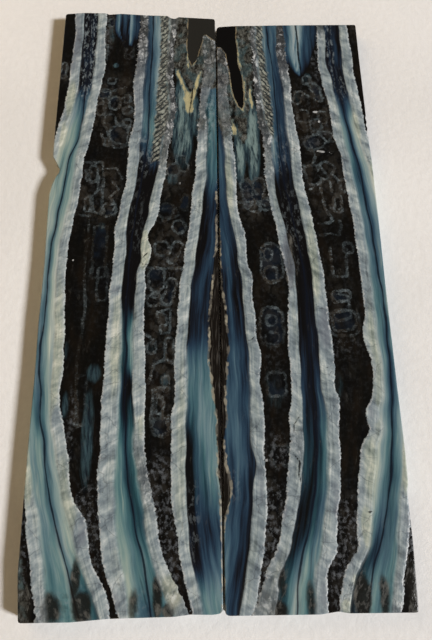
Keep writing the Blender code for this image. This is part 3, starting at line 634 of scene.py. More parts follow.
RIGHT_PATTERN = SlabPattern(
    bands=(
        EnamelBand(
            (
                (64, 0.8, 2.2), (55, 0.5, 2), (50, 0.5, 3.5), (45, 0.8, 4), (41, 1, 3.6), (36, 1.6, 4),
                (30, 2.4, 4.4), (25, 2.7, 4.75), (21, 2.8, 5.05), (15, 3, 5), (10, 3.6, 5.5), (7, 4.3, 6.5),
                (5, 4.6, 6.7), (0, 5, 6.9), (-2, 5.4, 7.7), (-5, 5.6, 7.55), (-10, 5.75, 7.9),
                (-15, 6.1, 8.1), (-18, 6.4, 8.75), (-24, 6.4, 8.4), (-28, 6.4, 8.9), (-35, 6.4, 8.75),
                (-38, 7.1, 8.7), (-42, 6.5, 8.85), (-45, 6.25, 8.9), (-50, 5.75, 8.4), (-55, 5, 7.6),
                (-60, 4.1, 6.6), (-64, 3.2, 5.3),
            ),
            Side.RIGHT,
            (
                (64, 0.8), (46, 0.75), (38, 0.4), (32, 0.6), (26, 0.2), (18, 0), (-64, 0.1),
            ),
        ),
        EnamelBand(
            (
                (64, 9, 10.3), (57, 9.1, 10.2), (50, 9.2, 10.5), (45, 9.3, 10.7), (40, 9.4, 11),
                (35, 9.8, 11.5), (30, 10.6, 12.7), (25, 10.9, 12.75), (20, 11, 13), (15, 11.5, 13.1),
                (10, 12.4, 14.25), (5, 13.1, 15), (0, 14, 16), (-5, 14.6, 16.1), (-7, 14.4, 16.1),
                (-10, 14.25, 16.2), (-15, 13.9, 16.05), (-20, 14, 16.05), (-25, 14.1, 16), (-30, 13.5, 15.95),
                (-35, 13.25, 15.8), (-38, 13, 15.6), (-40, 12.5, 15.2), (-45, 12, 14.5), (-47, 11.25, 13.9),
                (-50, 10.9, 13.1), (-53, 9.9, 12.4), (-55, 8.7, 11.25), (-58, 7.6, 10.2), (-60, 6.6, 9.9),
                (-64, 5.5, 9),
            ),
            Side.LEFT,
            (
                (64, 0.85), (45, 0.75), (32, 0.8), (24, 0.5), (16, 0.15), (-26, 0), (-34, 0.35), (-42, 0.2),
                (-50, 0.15), (-58, 0.5), (-64, 0.5),
            ),
        ),
        EnamelBand(
            (
                (64, 15.3, 17), (55, 15, 17), (50, 14.9, 17), (45, 15.5, 17.5), (40, 16, 17.6),
                (35, 16, 17.9), (30, 16.25, 18.4), (25, 16.7, 18.8), (20, 16.7, 18.95), (15, 17.45, 19.55),
                (10, 18.1, 20.4), (5, 18.7, 20.95), (0, 19.25, 21.6), (-5, 19.5, 21.9), (-10, 19.45, 22.1),
                (-15, 19.75, 22.4), (-20, 19.75, 22.6), (-25, 19.75, 22.4), (-27, 20.1, 23),
                (-30, 20.4, 22.75), (-35, 20.1, 22.4), (-40, 19.9, 22.2), (-45, 19.25, 21.6),
                (-50, 18.1, 20.7), (-54, 17.4, 20.2), (-56, 16.5, 18.8), (-60, 16.4, 18.5), (-64, 15.9, 18.2),
            ),
            Side.RIGHT,
            (
                (64, 0.95), (50, 0.75), (44, 0.5), (38, 0.3), (30, 0.15), (20, 0), (-44, 0), (-64, 0.2),
            ),
        ),
        EnamelBand(
            (
                (64, 24.2, 25.8), (55, 24.1, 26.1), (50, 24, 25.8), (47, 23.9, 26), (45, 24.25, 26.5),
                (40, 25.1, 27.1), (35, 25.75, 27.75), (30, 25.9, 27.9), (25, 27.1, 28.8), (20, 27.45, 29.2),
                (15, 27.9, 29.9), (10, 28.45, 30.4), (5, 28.7, 30.6), (0, 28.9, 30.9), (-5, 28.95, 31),
                (-10, 29.1, 31.1), (-14.5, 28.35, 30.9), (-17, 28.7, 31), (-20, 29.5, 31.3),
                (-25, 29.25, 31.2), (-27, 28.7, 31), (-29, 27.6, 30.2), (-33, 27.7, 30.2), (-35, 26.5, 29.3),
                (-40, 25.4, 28.4), (-45, 24.6, 27.4), (-50, 24.1, 26.7), (-53, 23.8, 25.9), (-54.5, 22.7, 25),
                (-57, 21.2, 23.4), (-60, 20.5, 22.5), (-64, 19.9, 21.7),
            ),
            Side.LEFT,
            (
                (64, 0.9), (58, 0.6), (52, 0.1), (36, 0.05), (-40, 0), (-52, 0.2), (-64, 0.3),
            ),
        ),
        EnamelBand(
            (
                (64, 29.3, 31.2), (55, 29.5, 31.5), (50, 29.5, 31.9), (45, 29.5, 31.9), (40, 30.25, 32.5),
                (35, 30.6, 32.9), (30, 31.2, 33.3), (25, 32.3, 34.4), (20, 33.3, 35.6), (10, 34.6, 36.8),
                (-10, 35, 37), (-25, 34.8, 36.8), (-33, 34.1, 36.2), (-40, 33.2, 35.2), (-44, 32.3, 34),
                (-50, 31.25, 33.4), (-55, 30.5, 32.2), (-60, 29.3, 31.2), (-64, 28.4, 30.4),
            ),
            Side.RIGHT,
            (
                (64, 0.2), (45, 0.1), (30, 0), (-52, 0), (-58, 0.3), (-64, 0.45),
            ),
        ),
    ),
    fields=(
        DentineField(
            fissure=SEAM_LINE,
            dye=(
                (60, 0.8, 0.7, 0.8, 0.2), (35, 0.8, 0.7, 0.8, 0.2), (25, 0.75, 0.65, 0.8, 0),
                (20, 0.8, 0.72, 0.85, 0), (10, 0.85, 0.7, 0.9, 0), (0, 0.95, 0.68, 1, 0),
                (-10, 0.95, 0.68, 1.05, 0), (-20, 0.85, 0.62, 0.85, 0), (-30, 0.86, 0.58, 0.76, 0.1),
                (-40, 0.88, 0.64, 0.95, 0), (-50, 0.6, 0.68, 0.95, 0), (-60, 0.55, 0.7, 0.85, 0),
            ),
        ),
        DentineField(
            fissure=(
                (64, 12.6), (40, 14), (20, 14.8), (0, 17.6), (-20, 17.9), (-40, 17.6), (-50, 15.7),
                (-56, 13.8), (-64, 12.8),
            ),
            dye=(
                (64, 0.28, 0.6, 0.75, 0.1), (50, 0.28, 0.64, 0.8, 0), (40, 0.25, 0.64, 0.85, 0),
                (33, 0.38, 0.6, 0.72, 0), (28, 0.5, 0.65, 0.78, 0), (24, 0.6, 0.75, 0.85, 0),
                (20, 0.95, 0.95, 1, 0), (10, 1.1, 1.1, 1.1, 0), (-10, 1.05, 1, 1.05, 0),
                (-25, 0.93, 0.89, 0.87, 0), (-33, 0.88, 0.93, 0.45, 0.5), (-40, 0.88, 0.93, 0.4, 0.7),
                (-46, 0.95, 0.93, 0.55, 0.6), (-50, 0.9, 0.85, 0.5, 0.6), (-55, 0.88, 0.5, 0.4, 0.6),
                (-59, 0.82, 0.3, 0.6, 0.8), (-64, 0.85, 0.25, 0.7, 0.8),
            ),
        ),
        DentineField(
            fissure=(
                (64, 27.6), (45, 27.4), (40, 28.2), (35, 28.9), (30, 29.5), (25, 30.25), (20, 31.2),
                (15, 31.5), (10, 31.9), (5, 32.2), (0, 32.5), (-10, 33), (-20, 33), (-25, 32.75), (-30, 32.4),
                (-35, 31.9), (-40, 31), (-45, 30), (-50, 28.8), (-55, 26.6), (-60, 25.4), (-64, 24.5),
            ),
            dye=(
                (64, 0.97, 0.9, 0.9, 0), (50, 0.95, 0.88, 0.88, 0), (40, 0.9, 0.85, 0.8, 0),
                (37, 0.6, 0.78, 0.5, 0.3), (33, 0.42, 0.65, 0.1, 0.5), (25, 0.38, 0.68, 0, 0.5),
                (20, 0.42, 0.72, -0.1, 0.4), (12, 0.4, 0.72, -0.05, 0.4), (0, 0.3, 0.65, 0.2, 0.4),
                (-10, 0.2, 0.7, 0.3, 0.4), (-25, 0.1, 0.75, 0.3, 0.4), (-33, 0.15, 0.7, 0.12, 0.6),
                (-40, 0.15, 0.75, 0.15, 0.7), (-48, 0.35, 0.7, 0.42, 0.6), (-54, 0.7, 0.72, 0.42, 0.6),
                (-58, 0.8, 0.5, 0.5, 0.8), (-64, 0.9, 0.6, 0.5, 0.7),
            ),
        ),
    ),
    tip=DentineTip(
        edges=(
            (64, 16.4, 24.8), (57, 16.4, 24.8), (52, 16.4, 23.3), (48, 17.2, 22), (45.6, 18.6, 20.9),
            (44.5, 19.6, 20.2),
        ),
        stops=(
            (0, 0.8), (0.15, 0.72), (0.27, 0.38), (0.34, 0.16), (0.38, 0.6), (0.43, 0.2), (0.52, 0.42),
            (0.62, 0.68), (0.85, 0.76), (1, 0.85),
        ),
    ),
    seam=Side.LEFT,
    loops_a=cell_loops(
        (18.9, 39.4, 0.9, 1.7, 0.8, -10), (23.1, 40.7, 0.9, 2.3, 0.8, 12), (21.2, 44, 0.9, 1, 0.6),
        (22, 28, 2.2, 1.6, 1.2, 20), (24.3, 29.4, 1.3, 1.2, 0.8, -15), (27, 3.4, 1, 1.1, 0.9),
        (24.7, -6.8, 1.7, 1, 0.4), (25, -11.9, 2.2, 1.9, 1.2), (11.6, 0.5, 2.1, 4, 1.8),
        (11, -13, 2.2, 4, 1.9), (7.3, 15.6, 1.2, 3.4, 0.9, 8), (9.4, 16.8, 1.2, 2.6, 1, -6),
        (11, 13.4, 1.1, 1.3, 0.8), (11.4, -24, 1.8, 2.2, 1), (11.6, -37, 1.6, 1.8, 0.9),
        (18.6, -6, 0.8, 1.6, 0.7),
    ),
    loops_b=cell_loops(
        (21, 20.2, 1.5, 2.3, 1.2, 14), (23.8, 21, 1.5, 2, 1, -24), (25.8, 13.2, 0.8, 1.8, 0.6),
        (25, -12.3, 2.9, 2.6, 1.8), (10.8, 2.2, 0.8, 1.2, 0.6), (11.3, -2.2, 1.3, 1.7, 1),
        (10.9, -11.6, 1, 1, 0.8), (11, -15.2, 1.3, 1.2, 1), (22.4, 32.4, 1.2, 1.4, 0.9),
        (24, 34.2, 0.9, 1.6, 0.8), (19.8, 34.6, 1.2, 1.6, 0.8), (27, 17.4, 0.6, 1.5, 0.5),
        (8.8, 12.6, 1, 0.9, 0.6),
    ),
    walls=(
        ((20.5, 40.4), (21.3, 39.6)), ((20.5, 28.5), (21.8, 24.8), (21.4, 23)),
        ((21.8, 29.8), (23.2, 30.3), (24.5, 28), (26.8, 28.2)), ((5.5, 13.9), (9.1, 14.1), (10.9, 13)),
        ((19.1, 22.3), (22.7, 22.3), (24.3, 19.4), (24.8, 15.7), (26.4, 15.3), (26.8, 18), (25.5, 19.8)),
        ((20.2, 16.6), (22.3, 18), (22.7, 15.7), (23, 12.1), (24.5, 9.6), (23.6, 8.9), (21.4, 8.9)),
        ((26.4, 13.9), (26.6, 12.5), (25, 11.4), (24.1, 13)), ((7.3, 19.4), (9.1, 15.7)),
        ((21.4, 6.2), (23.6, 6.6), (25.5, 6.2), (26.1, 8.5), (25.7, 9.4)),
        ((23.4, 3.5), (23.6, -2.8), (26.4, -2.7), (26.6, 3)),
        ((23.6, -6.4), (26.1, -6.6), (26.4, -11.2), (23.6, -12.1), (23.2, -11.2)),
    ),
    cell_spots=soft_spots(
        (22, 36, 4.5, 9, 1), (23.5, 18, 5, 10, 0.7), (24.5, -4, 4, 10, 0.45), (8.5, 15, 4, 6, 0.8),
        (11, -4, 3, 11, 0.5), (11, -30, 3, 12, 0.3), (8.8, -50, 3, 12, 0.8), (24, -22, 5, 10, 0.35),
        (22, -52, 4, 10, 0.7), (28, 50, 1.5, 10, 0.6), (18, 2, 2, 12, 0.6), (3.6, -52, 2, 8, 0.5),
        (32.7, 57, 0.9, 3, 0.7),
    ),
    grit=soft_spots(
        (11, -36, 2, 3.5, 0.7), (10, -48, 2.6, 6, 1), (8, -56, 2.8, 7, 1.2), (33.6, -55, 1.2, 8, 1.2),
        (23, -50, 2.5, 6, 0.8), (21, -58, 2.2, 5, 0.9), (23.6, 50, 1.2, 6, 0.8), (7, 16, 1.5, 5, 0.5),
        (22, 30, 4, 4, 0.45), (24, -17, 4, 3, 0.4), (11, -20, 2.5, 4, 0.3),
    ),
    flecks=soft_spots(
        (26.9, 53, 0.9, 9, 0.9), (28.4, 42, 1.8, 5, 0.5), (14.5, 26, 1.8, 6, 0.5), (16, 8, 2.4, 10, 0.45),
        (24.5, -60, 2, 4, 0.5), (31.5, -60, 3, 4, 0.6), (3.2, -42, 1.5, 3, 0.4),
    ),
    stains=soft_spots(
        (8.8, 28.5, 1.2, 9, 2.1), (5.9, 25.5, 1, 6.5, 1.9), (7.3, 27, 1, 3.4, 1.2), (7.4, 49, 0.9, 3.6, 1.4),
        (23, -24.5, 1, 3, 0.35), (10.9, -25, 2, 4.5, 0.35), (24.5, 2.3, 0.9, 1.6, 0.2),
        (18.8, 39.5, 0.9, 1.6, 0.5), (21.2, 44.5, 1.1, 1.4, 0.6),
    ),
    creams=soft_spots(
        (3.4, 18, 1, 7, 0.5), (20, 2, 1, 9, 0.6), (29.8, -20, 1.4, 12, 0.4), (33.6, 17.5, 0.7, 4.5, 1.3),
        (33.6, -38.5, 0.6, 5, 1.3), (31, 31, 0.8, 4, 0.7), (27.5, -39, 1.3, 6, 0.6), (26, -49.5, 0.9, 3, 1),
        (23.6, -58, 0.7, 1, 1.3), (4.9, 31, 0.5, 2.6, 1.2), (9.4, 33.4, 0.5, 2, 0.5),
        (21.4, -61.8, 0.9, 1, 0.9),
    ),
    lilacs=soft_spots(
        (2, 45, 1.6, 9, 1.4), (9.9, 44, 1, 10, 0.7), (16, 56, 1.4, 12, 1.2), (15, 1, 1.2, 6, 1.5),
        (21, -13.5, 1.2, 4.6, 1), (29, -29.5, 0.9, 1.6, 1), (20.9, -44.5, 0.7, 4, 0.7),
        (7.6, -42.5, 0.8, 3.6, 0.8), (17.6, -60, 0.8, 2.4, 0.8), (11.6, -46.5, 0.8, 1.4, 0.8),
        (32.8, -48.5, 0.7, 3, 0.6), (11.2, 27, 1, 5, 0.6), (17, 34, 1, 4, 0.4),
    ),
    smudges=soft_spots(
        (24.3, -60.4, 1.3, 3.4, 1.5), (9.8, -62.2, 1.8, 1.5, 1.3), (15.5, -60.6, 0.8, 2.8, 0.9),
        (27.9, -60.4, 0.8, 3.4, 1.1), (32.9, -59, 1.1, 4.6, 1), (10.8, -57.8, 0.7, 2.6, 0.9),
        (7.4, -60.6, 1.4, 1.8, 0.7), (15.4, 1, 1.1, 6, 0.9),
    ),
    ribs=(
        (
            (10.2, 64), (12, 64), (11.8, 55), (12.3, 48), (13, 41), (13.4, 34), (13.2, 29), (12.4, 30),
            (11.4, 35), (10.9, 41), (10.6, 48), (10.2, 55),
        ),
    ),
    gravel=(
        (
            (5.7, 64), (9.2, 64), (9.3, 45), (8.4, 38), (7.9, 34.5), (7.6, 29.5), (6.8, 27.8), (5.6, 29.5),
            (5.2, 34), (4.9, 39.5), (6.6, 36.4), (7.3, 40), (6.8, 46), (6.1, 50), (5.7, 56),
        ),
        ((1.2, 54), (2.6, 53), (3.8, 49), (4.5, 43), (4.9, 39), (4.6, 35), (4.4, 30), (2.6, 29), (1.3, 33)),
        ((34.9, -49.5), (33.9, -52), (32.9, -57), (31.6, -63.5), (34.9, -63.5)),
    ),
    void=(
        (1.2, 64), (5.7, 64), (5.75, 55), (6.1, 48.5), (6.8, 45), (7.15, 41), (7, 38), (6.7, 36.6),
        (5.8, 37.4), (5, 39.6), (4.4, 43.5), (4, 47.5), (3.4, 51.5), (2.3, 53), (1.2, 53.2),
    ),
    yellow=(
        ((8.6, 42.5, 0.05), (8.6, 40.4, 0.2), (8.7, 38.4, 0.4), (8.8, 37, 0.2)),
        ((4.5, 33.8, 0.15), (4.7, 31.6, 0.35), (5, 29.4, 0.2)),
        ((6, 55, 0.1), (6.3, 49, 0.12), (7.2, 44, 0.12), (7.5, 39, 0.12), (6.9, 36.2, 0.12)),
        ((4.3, 45, 0.06), (4.8, 40, 0.1), (5.8, 37.2, 0.12), (6.8, 36.2, 0.12)),
    ),
    cracks=(
        ((15.4, -30, 0.1), (14.4, -31.4, 0.15), (14, -33.2, 0.12)),
        ((13.8, -36.4, 0.12), (15, -38.2, 0.2), (14.6, -40.6, 0.2), (15, -42, 0.12)),
        ((25.9, -47, 0.06), (26.6, -46.9, 0.2), (27.3, -46.6, 0.05)),
        ((19.5, 62, 0.2), (19.7, 55, 0.22), (19.8, 49, 0.2), (20, 45, 0.12), (20.2, 42.5, 0.05)),
        ((6.3, -15.6, 0.05), (7, -15.4, 0.12), (8, -14.6, 0.04)), ((6.4, -26.8, 0.04), (8.3, -26.1, 0.06)),
        ((19.6, -8.4, 0.05), (20.6, -9.3, 0.12), (21.8, -9.2, 0.05)),
        ((20, -20.6, 0.05), (21.2, -21, 0.1), (22.2, -20.6, 0.03)), ((5.1, -55.9, 0.06), (7, -55.4, 0.06)),
        ((25.6, 33.6, 0.06), (27.4, 33, 0.08)), ((14.6, 4.2, 0.04), (16, 2.8, 0.08)),
        ((5.5, -0.7, 0.03), (7.1, -0.2, 0.05)),
    ),
    specks=cell_loops(
        (22.6, 35.6, 0.55, 0.25, 0.2), (23, 25.7, 0.9, 0.2, 0.1, -8), (23.2, 33.1, 0.3, 0.35, 0.2),
        (25.1, 25.3, 0.4, 0.15, 0.1, -30), (15.2, 9, 0.3, 0.2, 0.1), (17.3, 5.2, 0.35, 0.2, 0.1),
        (13, 19.8, 0.3, 0.4, 0.2), (12.9, -53.9, 0.35, 0.25, 0.2), (9, -37.8, 0.3, 0.2, 0.1),
        (6.2, 41.4, 0.25, 0.1, 0.1),
    ),
    bead_line=(
        (10, 1.3), (4, 1.3), (0, 1.4), (-4, 1.6), (-8, 2.1), (-12, 2.35), (-15, 2.6), (-19, 2.4), (-24, 2),
        (-30, 1.9), (-36, 1.5), (-39, 1.8), (-41, 2.5), (-45, 2.1), (-49, 1.2), (-64, 1.1),
    ),
    fill_ends=(1, -48),
)


def outline_of(node: str) -> Array:
    """Reads a CAD node's outline, seen from above.

    Args:
        node: The CAD node's name.

    Returns:
        Its corners in millimetres, in order against the clock: the vertices at the
        level of the side wall that is nearest to half the height, sorted by their
        angle about their middle.
    """
    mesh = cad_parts[node].data
    places = np.empty(len(mesh.vertices) * 3)
    mesh.vertices.foreach_get("co", places)
    places = np.round(places.reshape(-1, 3) / MM, 4)
    half = places[:, 2].max() / 2.0
    away = np.abs(places[:, 2] - half)
    wall = np.unique(places[away < away.min() + 0.01][:, :2], axis=0)
    middle = (wall.max(axis=0) + wall.min(axis=0)) / 2.0
    angles = np.arctan2(wall[:, 1] - middle[1], wall[:, 0] - middle[0])
    return wall[np.argsort(angles)]


def even_points(line: Array, count: int) -> Array:
    """Places points at even steps of length along a polyline.

    Args:
        line: The polyline's corners.
        count: How many points to place, both ends among them.

    Returns:
        The points: the corners are interpolated over the length walked.
    """
    lengths = np.concatenate(([0.0], np.cumsum(np.hypot(*np.diff(line, axis=0).T))))
    at = np.linspace(0.0, lengths[-1], count)
    return np.stack([np.interp(at, lengths, line[:, axis]) for axis in (0, 1)], axis=1)


def grid_quads(grid: Array) -> Array:
    """The faces between the points of a grid of point numbers, against the clock."""
    return np.stack((grid[:-1, :-1], grid[:-1, 1:], grid[1:, 1:], grid[1:, :-1]), axis=-1).reshape(-1, 4)


def add_object(name: str, data: bpy.types.ID) -> bpy.types.Object:
    """Makes an object of a mesh, a light or a camera and puts it in the scene."""
    piece = bpy.data.objects.new(name, data)
    bpy.context.scene.collection.objects.link(piece)
    return piece


def add_mesh(name: str, points: Array, quads: Array, material: bpy.types.Material) -> bpy.types.Object:
    """Makes an object of points in metres and of faces that list their numbers."""
    mesh = bpy.data.meshes.new(name)
    mesh.from_pydata(points, [], quads)
    mesh.update()
    mesh.materials.append(material)
    return add_object(name, mesh)


@dataclass
class PlateMesh:
    """The closed surface of a flat plate with eased edges, as one grid of points.

    outline holds the plate's corners in millimetres, against the clock.
    """

    outline: Array
    thickness: float
    ease: float = 0.22
    columns: int = 104
    rows: int = 344
    wall_rows: int = 7
    ease_rows: int = 4

    def sides(self) -> list[Array]:
        """Cuts the outline at its four corners.

        Returns:
            The lower, right, upper and left sides as even points, each one starting
            where the last one ends. A corner is the point furthest out on a diagonal.
        """
        x, y = self.outline.T
        corners = [int(np.argmax(sx * x + sy * y)) for sx, sy in ((-1, -1), (1, -1), (1, 1), (-1, 1))]
        counts = (self.columns, self.rows, self.columns, self.rows)
        result = []
        for start, end, count in zip(corners, corners[1:] + corners[:1], counts):
            steps = (end - start) % len(self.outline)
            along = (start + np.arange(steps + 1)) % len(self.outline)
            result.append(even_points(self.outline[along], count))
        return result

    def rim(self) -> Array:
        """The outline as one ring of even points, each side without its last point."""
        return np.concatenate([side[:-1] for side in self.sides()])

    def inset(self, ring: Array, amount: float) -> Array:
        """Moves a ring inwards: each point goes along the normal of its neighbours' chord."""
        chord = np.roll(ring, -1, axis=0) - np.roll(ring, 1, axis=0)
        chord /= np.hypot(*chord.T)[:, None]
        return ring + amount * np.stack((-chord[:, 1], chord[:, 0]), axis=1)

    def face(self, ring: Array) -> Array:
        """Fills a ring with a grid.

        Args:
            ring: The ring's points, in the order of rim.

        Returns:
            The Coons patch of its four sides, rows by columns: the sum of the two
            ruled surfaces between facing sides, less the corners' bilinear one.
        """
        c, r = self.columns - 1, self.rows - 1
        low = ring[: c + 1]
        right = ring[c : c + r + 1]
        high = ring[c + r : 2 * c + r + 1][::-1]
        left = np.concatenate((ring[2 * c + r :], ring[:1]))[::-1]
        u = np.linspace(0.0, 1.0, self.columns)[None, :, None]
        v = np.linspace(0.0, 1.0, self.rows)[:, None, None]
        ruled_up = (1 - v) * low[None] + v * high[None]
        ruled_across = (1 - u) * left[:, None] + u * right[:, None]
        corners = (1 - v) * ((1 - u) * low[0] + u * low[-1]) + v * ((1 - u) * high[0] + u * high[-1])
        return ruled_up + ruled_across - corners

    def profile(self) -> list[Point]:
        """The edge from the top face to the back, as pairs of inset and height.

        Returns:
            A quarter circle of the ease's radius, the wall, and a second quarter
            circle, without the two ends that the faces' own borders are.
        """
        turn = np.linspace(0.0, math.pi / 2, self.ease_rows + 1)
        upper = [
            (self.ease * (1 - math.sin(a)), self.thickness - self.ease * (1 - math.cos(a))) for a in turn
        ]
        wall = np.linspace(self.thickness - self.ease, self.ease, self.wall_rows + 1)[1:-1]
        lower = [(inset, self.thickness - height) for inset, height in upper[::-1]]
        return upper[1:] + [(0.0, float(z)) for z in wall] + lower[:-1]

    def points(self) -> Array:
        """All points in millimetres: the top face, the edge's rings, then the back."""
        rim = self.rim()
        face = self.face(self.inset(rim, self.ease)).reshape(-1, 2)
        parts = [np.column_stack((face, np.full(len(face), self.thickness)))]
        for inset, height in self.profile():
            ring = self.inset(rim, inset)
            parts.append(np.column_stack((ring, np.full(len(ring), height))))
        parts.append(np.column_stack((face, np.zeros(len(face)))))
        return np.concatenate(parts)

    def quads(self) -> Array:
        """The four point numbers of each face, against the clock seen from outside.

        Returns:
            The top grid, the same grid turned over for the back, and the strips
            between neighbouring rings, of which the faces' borders are the first
            and the last.
        """
        grid = np.arange(self.rows * self.columns).reshape(self.rows, self.columns)
        top = grid_quads(grid)
        border = np.concatenate((grid[0, :-1], grid[:-1, -1], grid[-1, :0:-1], grid[:0:-1, 0]))
        count = len(self.profile())
        first = grid.size
        back_start = first + count * len(border)
        rings = [border]
        rings += [first + index * len(border) + np.arange(len(border)) for index in range(count)]
        rings.append(border + back_start)
        strips = [
            np.stack((upper, lower, np.roll(lower, -1), np.roll(upper, -1)), axis=-1)
            for upper, lower in zip(rings, rings[1:])
        ]
        return np.concatenate([top, top[:, ::-1] + back_start] + strips)


class PatternMap:
    """Works out a slab's pattern at its points."""

    def __init__(self, pattern: SlabPattern, points: Array, thickness: float) -> None:
        """Leans the places with depth, because the plates dip, and sways them a little.

        Args:
            pattern: What the cut shows.
            points: The slab's points in millimetres.
            thickness: The slab's thickness in millimetres.
        """
        self.pattern = pattern
        x, y, z = points.T
        depth = thickness - z
        self.depth = depth
        self.x = x + depth * (DIP + DIP_SWAY * np.sin(y / DIP_WAVE))
        self.x += SWAY * np.sin(SWAY_ALONG * y + SWAY_ACROSS * x)
        self.y = y + DIP_ALONG * depth
        self.edges = self.edges_at(self.y)
        self.guides = np.mean([self.edges_at(self.y + shift) for shift in GUIDE_SHIFTS], axis=0)

    def edges_at(self, heights: Array) -> Array:
        """The left and right edges of every band in turn, at some heights."""
        return np.stack([edge for band in self.pattern.bands for edge in band.edges(heights)])

    def flow(self) -> Array:
        """Coordinates that follow the bands.

        Returns:
            Three numbers a point: the place across, stretched so that the guides,
            which are the bands' edges evened out over 12 mm, keep their mean places,
            then the height, then the depth.
        """
        means = self.edges_at(np.linspace(-MEAN_REACH, MEAN_REACH, MEAN_POINTS)).mean(axis=1)
        across = self.x - self.guides[0] + means[0]
        for low, high, start, end in zip(self.guides, self.guides[1:], means, means[1:]):
            share = (self.x - low) / (high - low)
            across = np.where(self.x >= low, start + share * (end - start), across)
        across = np.where(self.x >= self.guides[-1], self.x - self.guides[-1] + means[-1], across)
        return np.stack((across, self.y, self.depth), axis=1)

    def enamel(self) -> dict[Layer, Array]:
        """The enamel's depth, which edge is near, and where it has crumbled.

        Returns:
            The distance to the nearer edge of the nearest band, plus within it, which
            is the one across over the hypotenuse of 1 and the edge's slope; the share
            of the way from the band's dentine edge to its cement edge; and how far
            the band has gone to rubble.
        """
        depth = np.full(self.x.shape, FAR_OUTSIDE)
        share = np.zeros(self.x.shape)
        crumble = np.zeros(self.x.shape)
        for index, band in enumerate(self.pattern.bands):
            left, right = self.edges[2 * index : 2 * index + 2]
            rise = np.gradient(np.array(band.stations)[:, 1], np.array(band.stations)[:, 0])
            slope = np.interp(self.y, np.array(band.stations)[::-1, 0], rise[::-1])
            here = np.minimum(self.x - left, right - self.x) / np.hypot(1.0, slope)
            across = np.clip((self.x - left) / (right - left), -0.5, 1.5)
            across = across if band.cement is Side.RIGHT else 1.0 - across
            share = np.where(here > depth, across, share)
            crumble = np.where(here > depth, smooth_line(self.y, band.crumble, 1), crumble)
            depth = np.maximum(here, depth)
        return {Layer.ENAMEL: depth, Layer.CEMENT_SIDE: share, Layer.CRUMBLE: crumble}

    def field_edges(self) -> list[tuple[Array, Array]]:
        """The left and right edges of the dentine fields, the seam among them."""
        seam = smooth_line(self.y, SEAM_LINE, 1)
        if self.pattern.seam is Side.RIGHT:
            lines = [*self.edges[[1, 2, 5, 6, 9]], seam]
        else:
            lines = [seam, *self.edges[[0, 3, 4, 7, 8]]]
        return list(zip(lines[::2], lines[1::2]))

    def dentine(self) -> dict[Layer, Array]:
        """The dentine's extent, stain and fissures.

        Returns:
            How deep each point is in dentine, with UNDER_ENAMEL more at the bands; the
            stain's depth, which goes straight from the left edge's value to the
            middle's and on to the right edge's; how green it is; and the distance
            across from the fissure, or PAST_SEAM in a field without one.
        """
        pattern = self.pattern
        tip_left = smooth_line(self.y, pattern.tip.edges, 1)
        tip_right = smooth_line(self.y, pattern.tip.edges, 2)
        tip_end = pattern.tip.edges[-1][0]
        depth = np.minimum(np.minimum(self.x - tip_left, tip_right - self.x), self.y - tip_end)
        stops = np.array(pattern.tip.stops)
        dye = np.interp((self.x - tip_left) / (tip_right - tip_left), stops[:, 0], stops[:, 1])
        dye = np.maximum(dye, 1.0 - TIP_FALL * depth) + TIP_END * np.exp((tip_end - self.y) / TIP_FADE)
        green = np.full(self.x.shape, TIP_GREEN)
        fissure = np.full(self.x.shape, PAST_SEAM)
        for index, (field, (left, right)) in enumerate(zip(pattern.fields, self.field_edges())):
            split = field.fissure != SEAM_LINE
            middle = smooth_line(self.y, field.fissure, 1) if split else (left + right) / 2.0
            open_left = PAST_SEAM if (index == 0 and pattern.seam is Side.LEFT) else UNDER_ENAMEL
            open_right = PAST_SEAM if (index == 2 and pattern.seam is Side.RIGHT) else UNDER_ENAMEL
            here = np.minimum(self.x - left + open_left, right - self.x + open_right)
            first, second, third, tint = (smooth_line(self.y, field.dye, column) for column in (1, 2, 3, 4))
            to_middle = np.clip((self.x - left) / np.maximum(middle - left, LEAST_WIDTH), 0.0, 1.0)
            past_middle = np.clip((self.x - middle) / np.maximum(right - middle, LEAST_WIDTH), 0.0, 1.0)
            value = first + (second - first) * to_middle + (third - second) * past_middle
            dye = np.where(here > 0.0, value, dye)
            green = np.where(here > 0.0, tint, green)
            if split:
                fissure = np.where(here > 0.0, self.x - middle, fissure)
            depth = np.maximum(depth, here)
        return {Layer.DENTINE: depth, Layer.DYE: dye, Layer.GREEN: green, Layer.FISSURE: fissure}

    def loops(self, loops: tuple[CellLoop, ...]) -> Array:
        """Plus outside every loop, minus in one: the least of their distances."""
        return np.minimum.reduce([loop.depth(self.x, self.y) for loop in loops])

    def spots(self, spots: tuple[SoftSpot, ...]) -> Array:
        """The strongest spot's amount."""
        return np.maximum.reduce([spot.amount(self.x, self.y) for spot in spots])

    def deepest(self, depth: Callable[..., Array], shapes: tuple[Stations, ...]) -> Array:
        """How deep each point lies in the strokes or areas: the most of their depths."""
        return np.maximum.reduce([depth(self.x, self.y, shape) for shape in shapes])

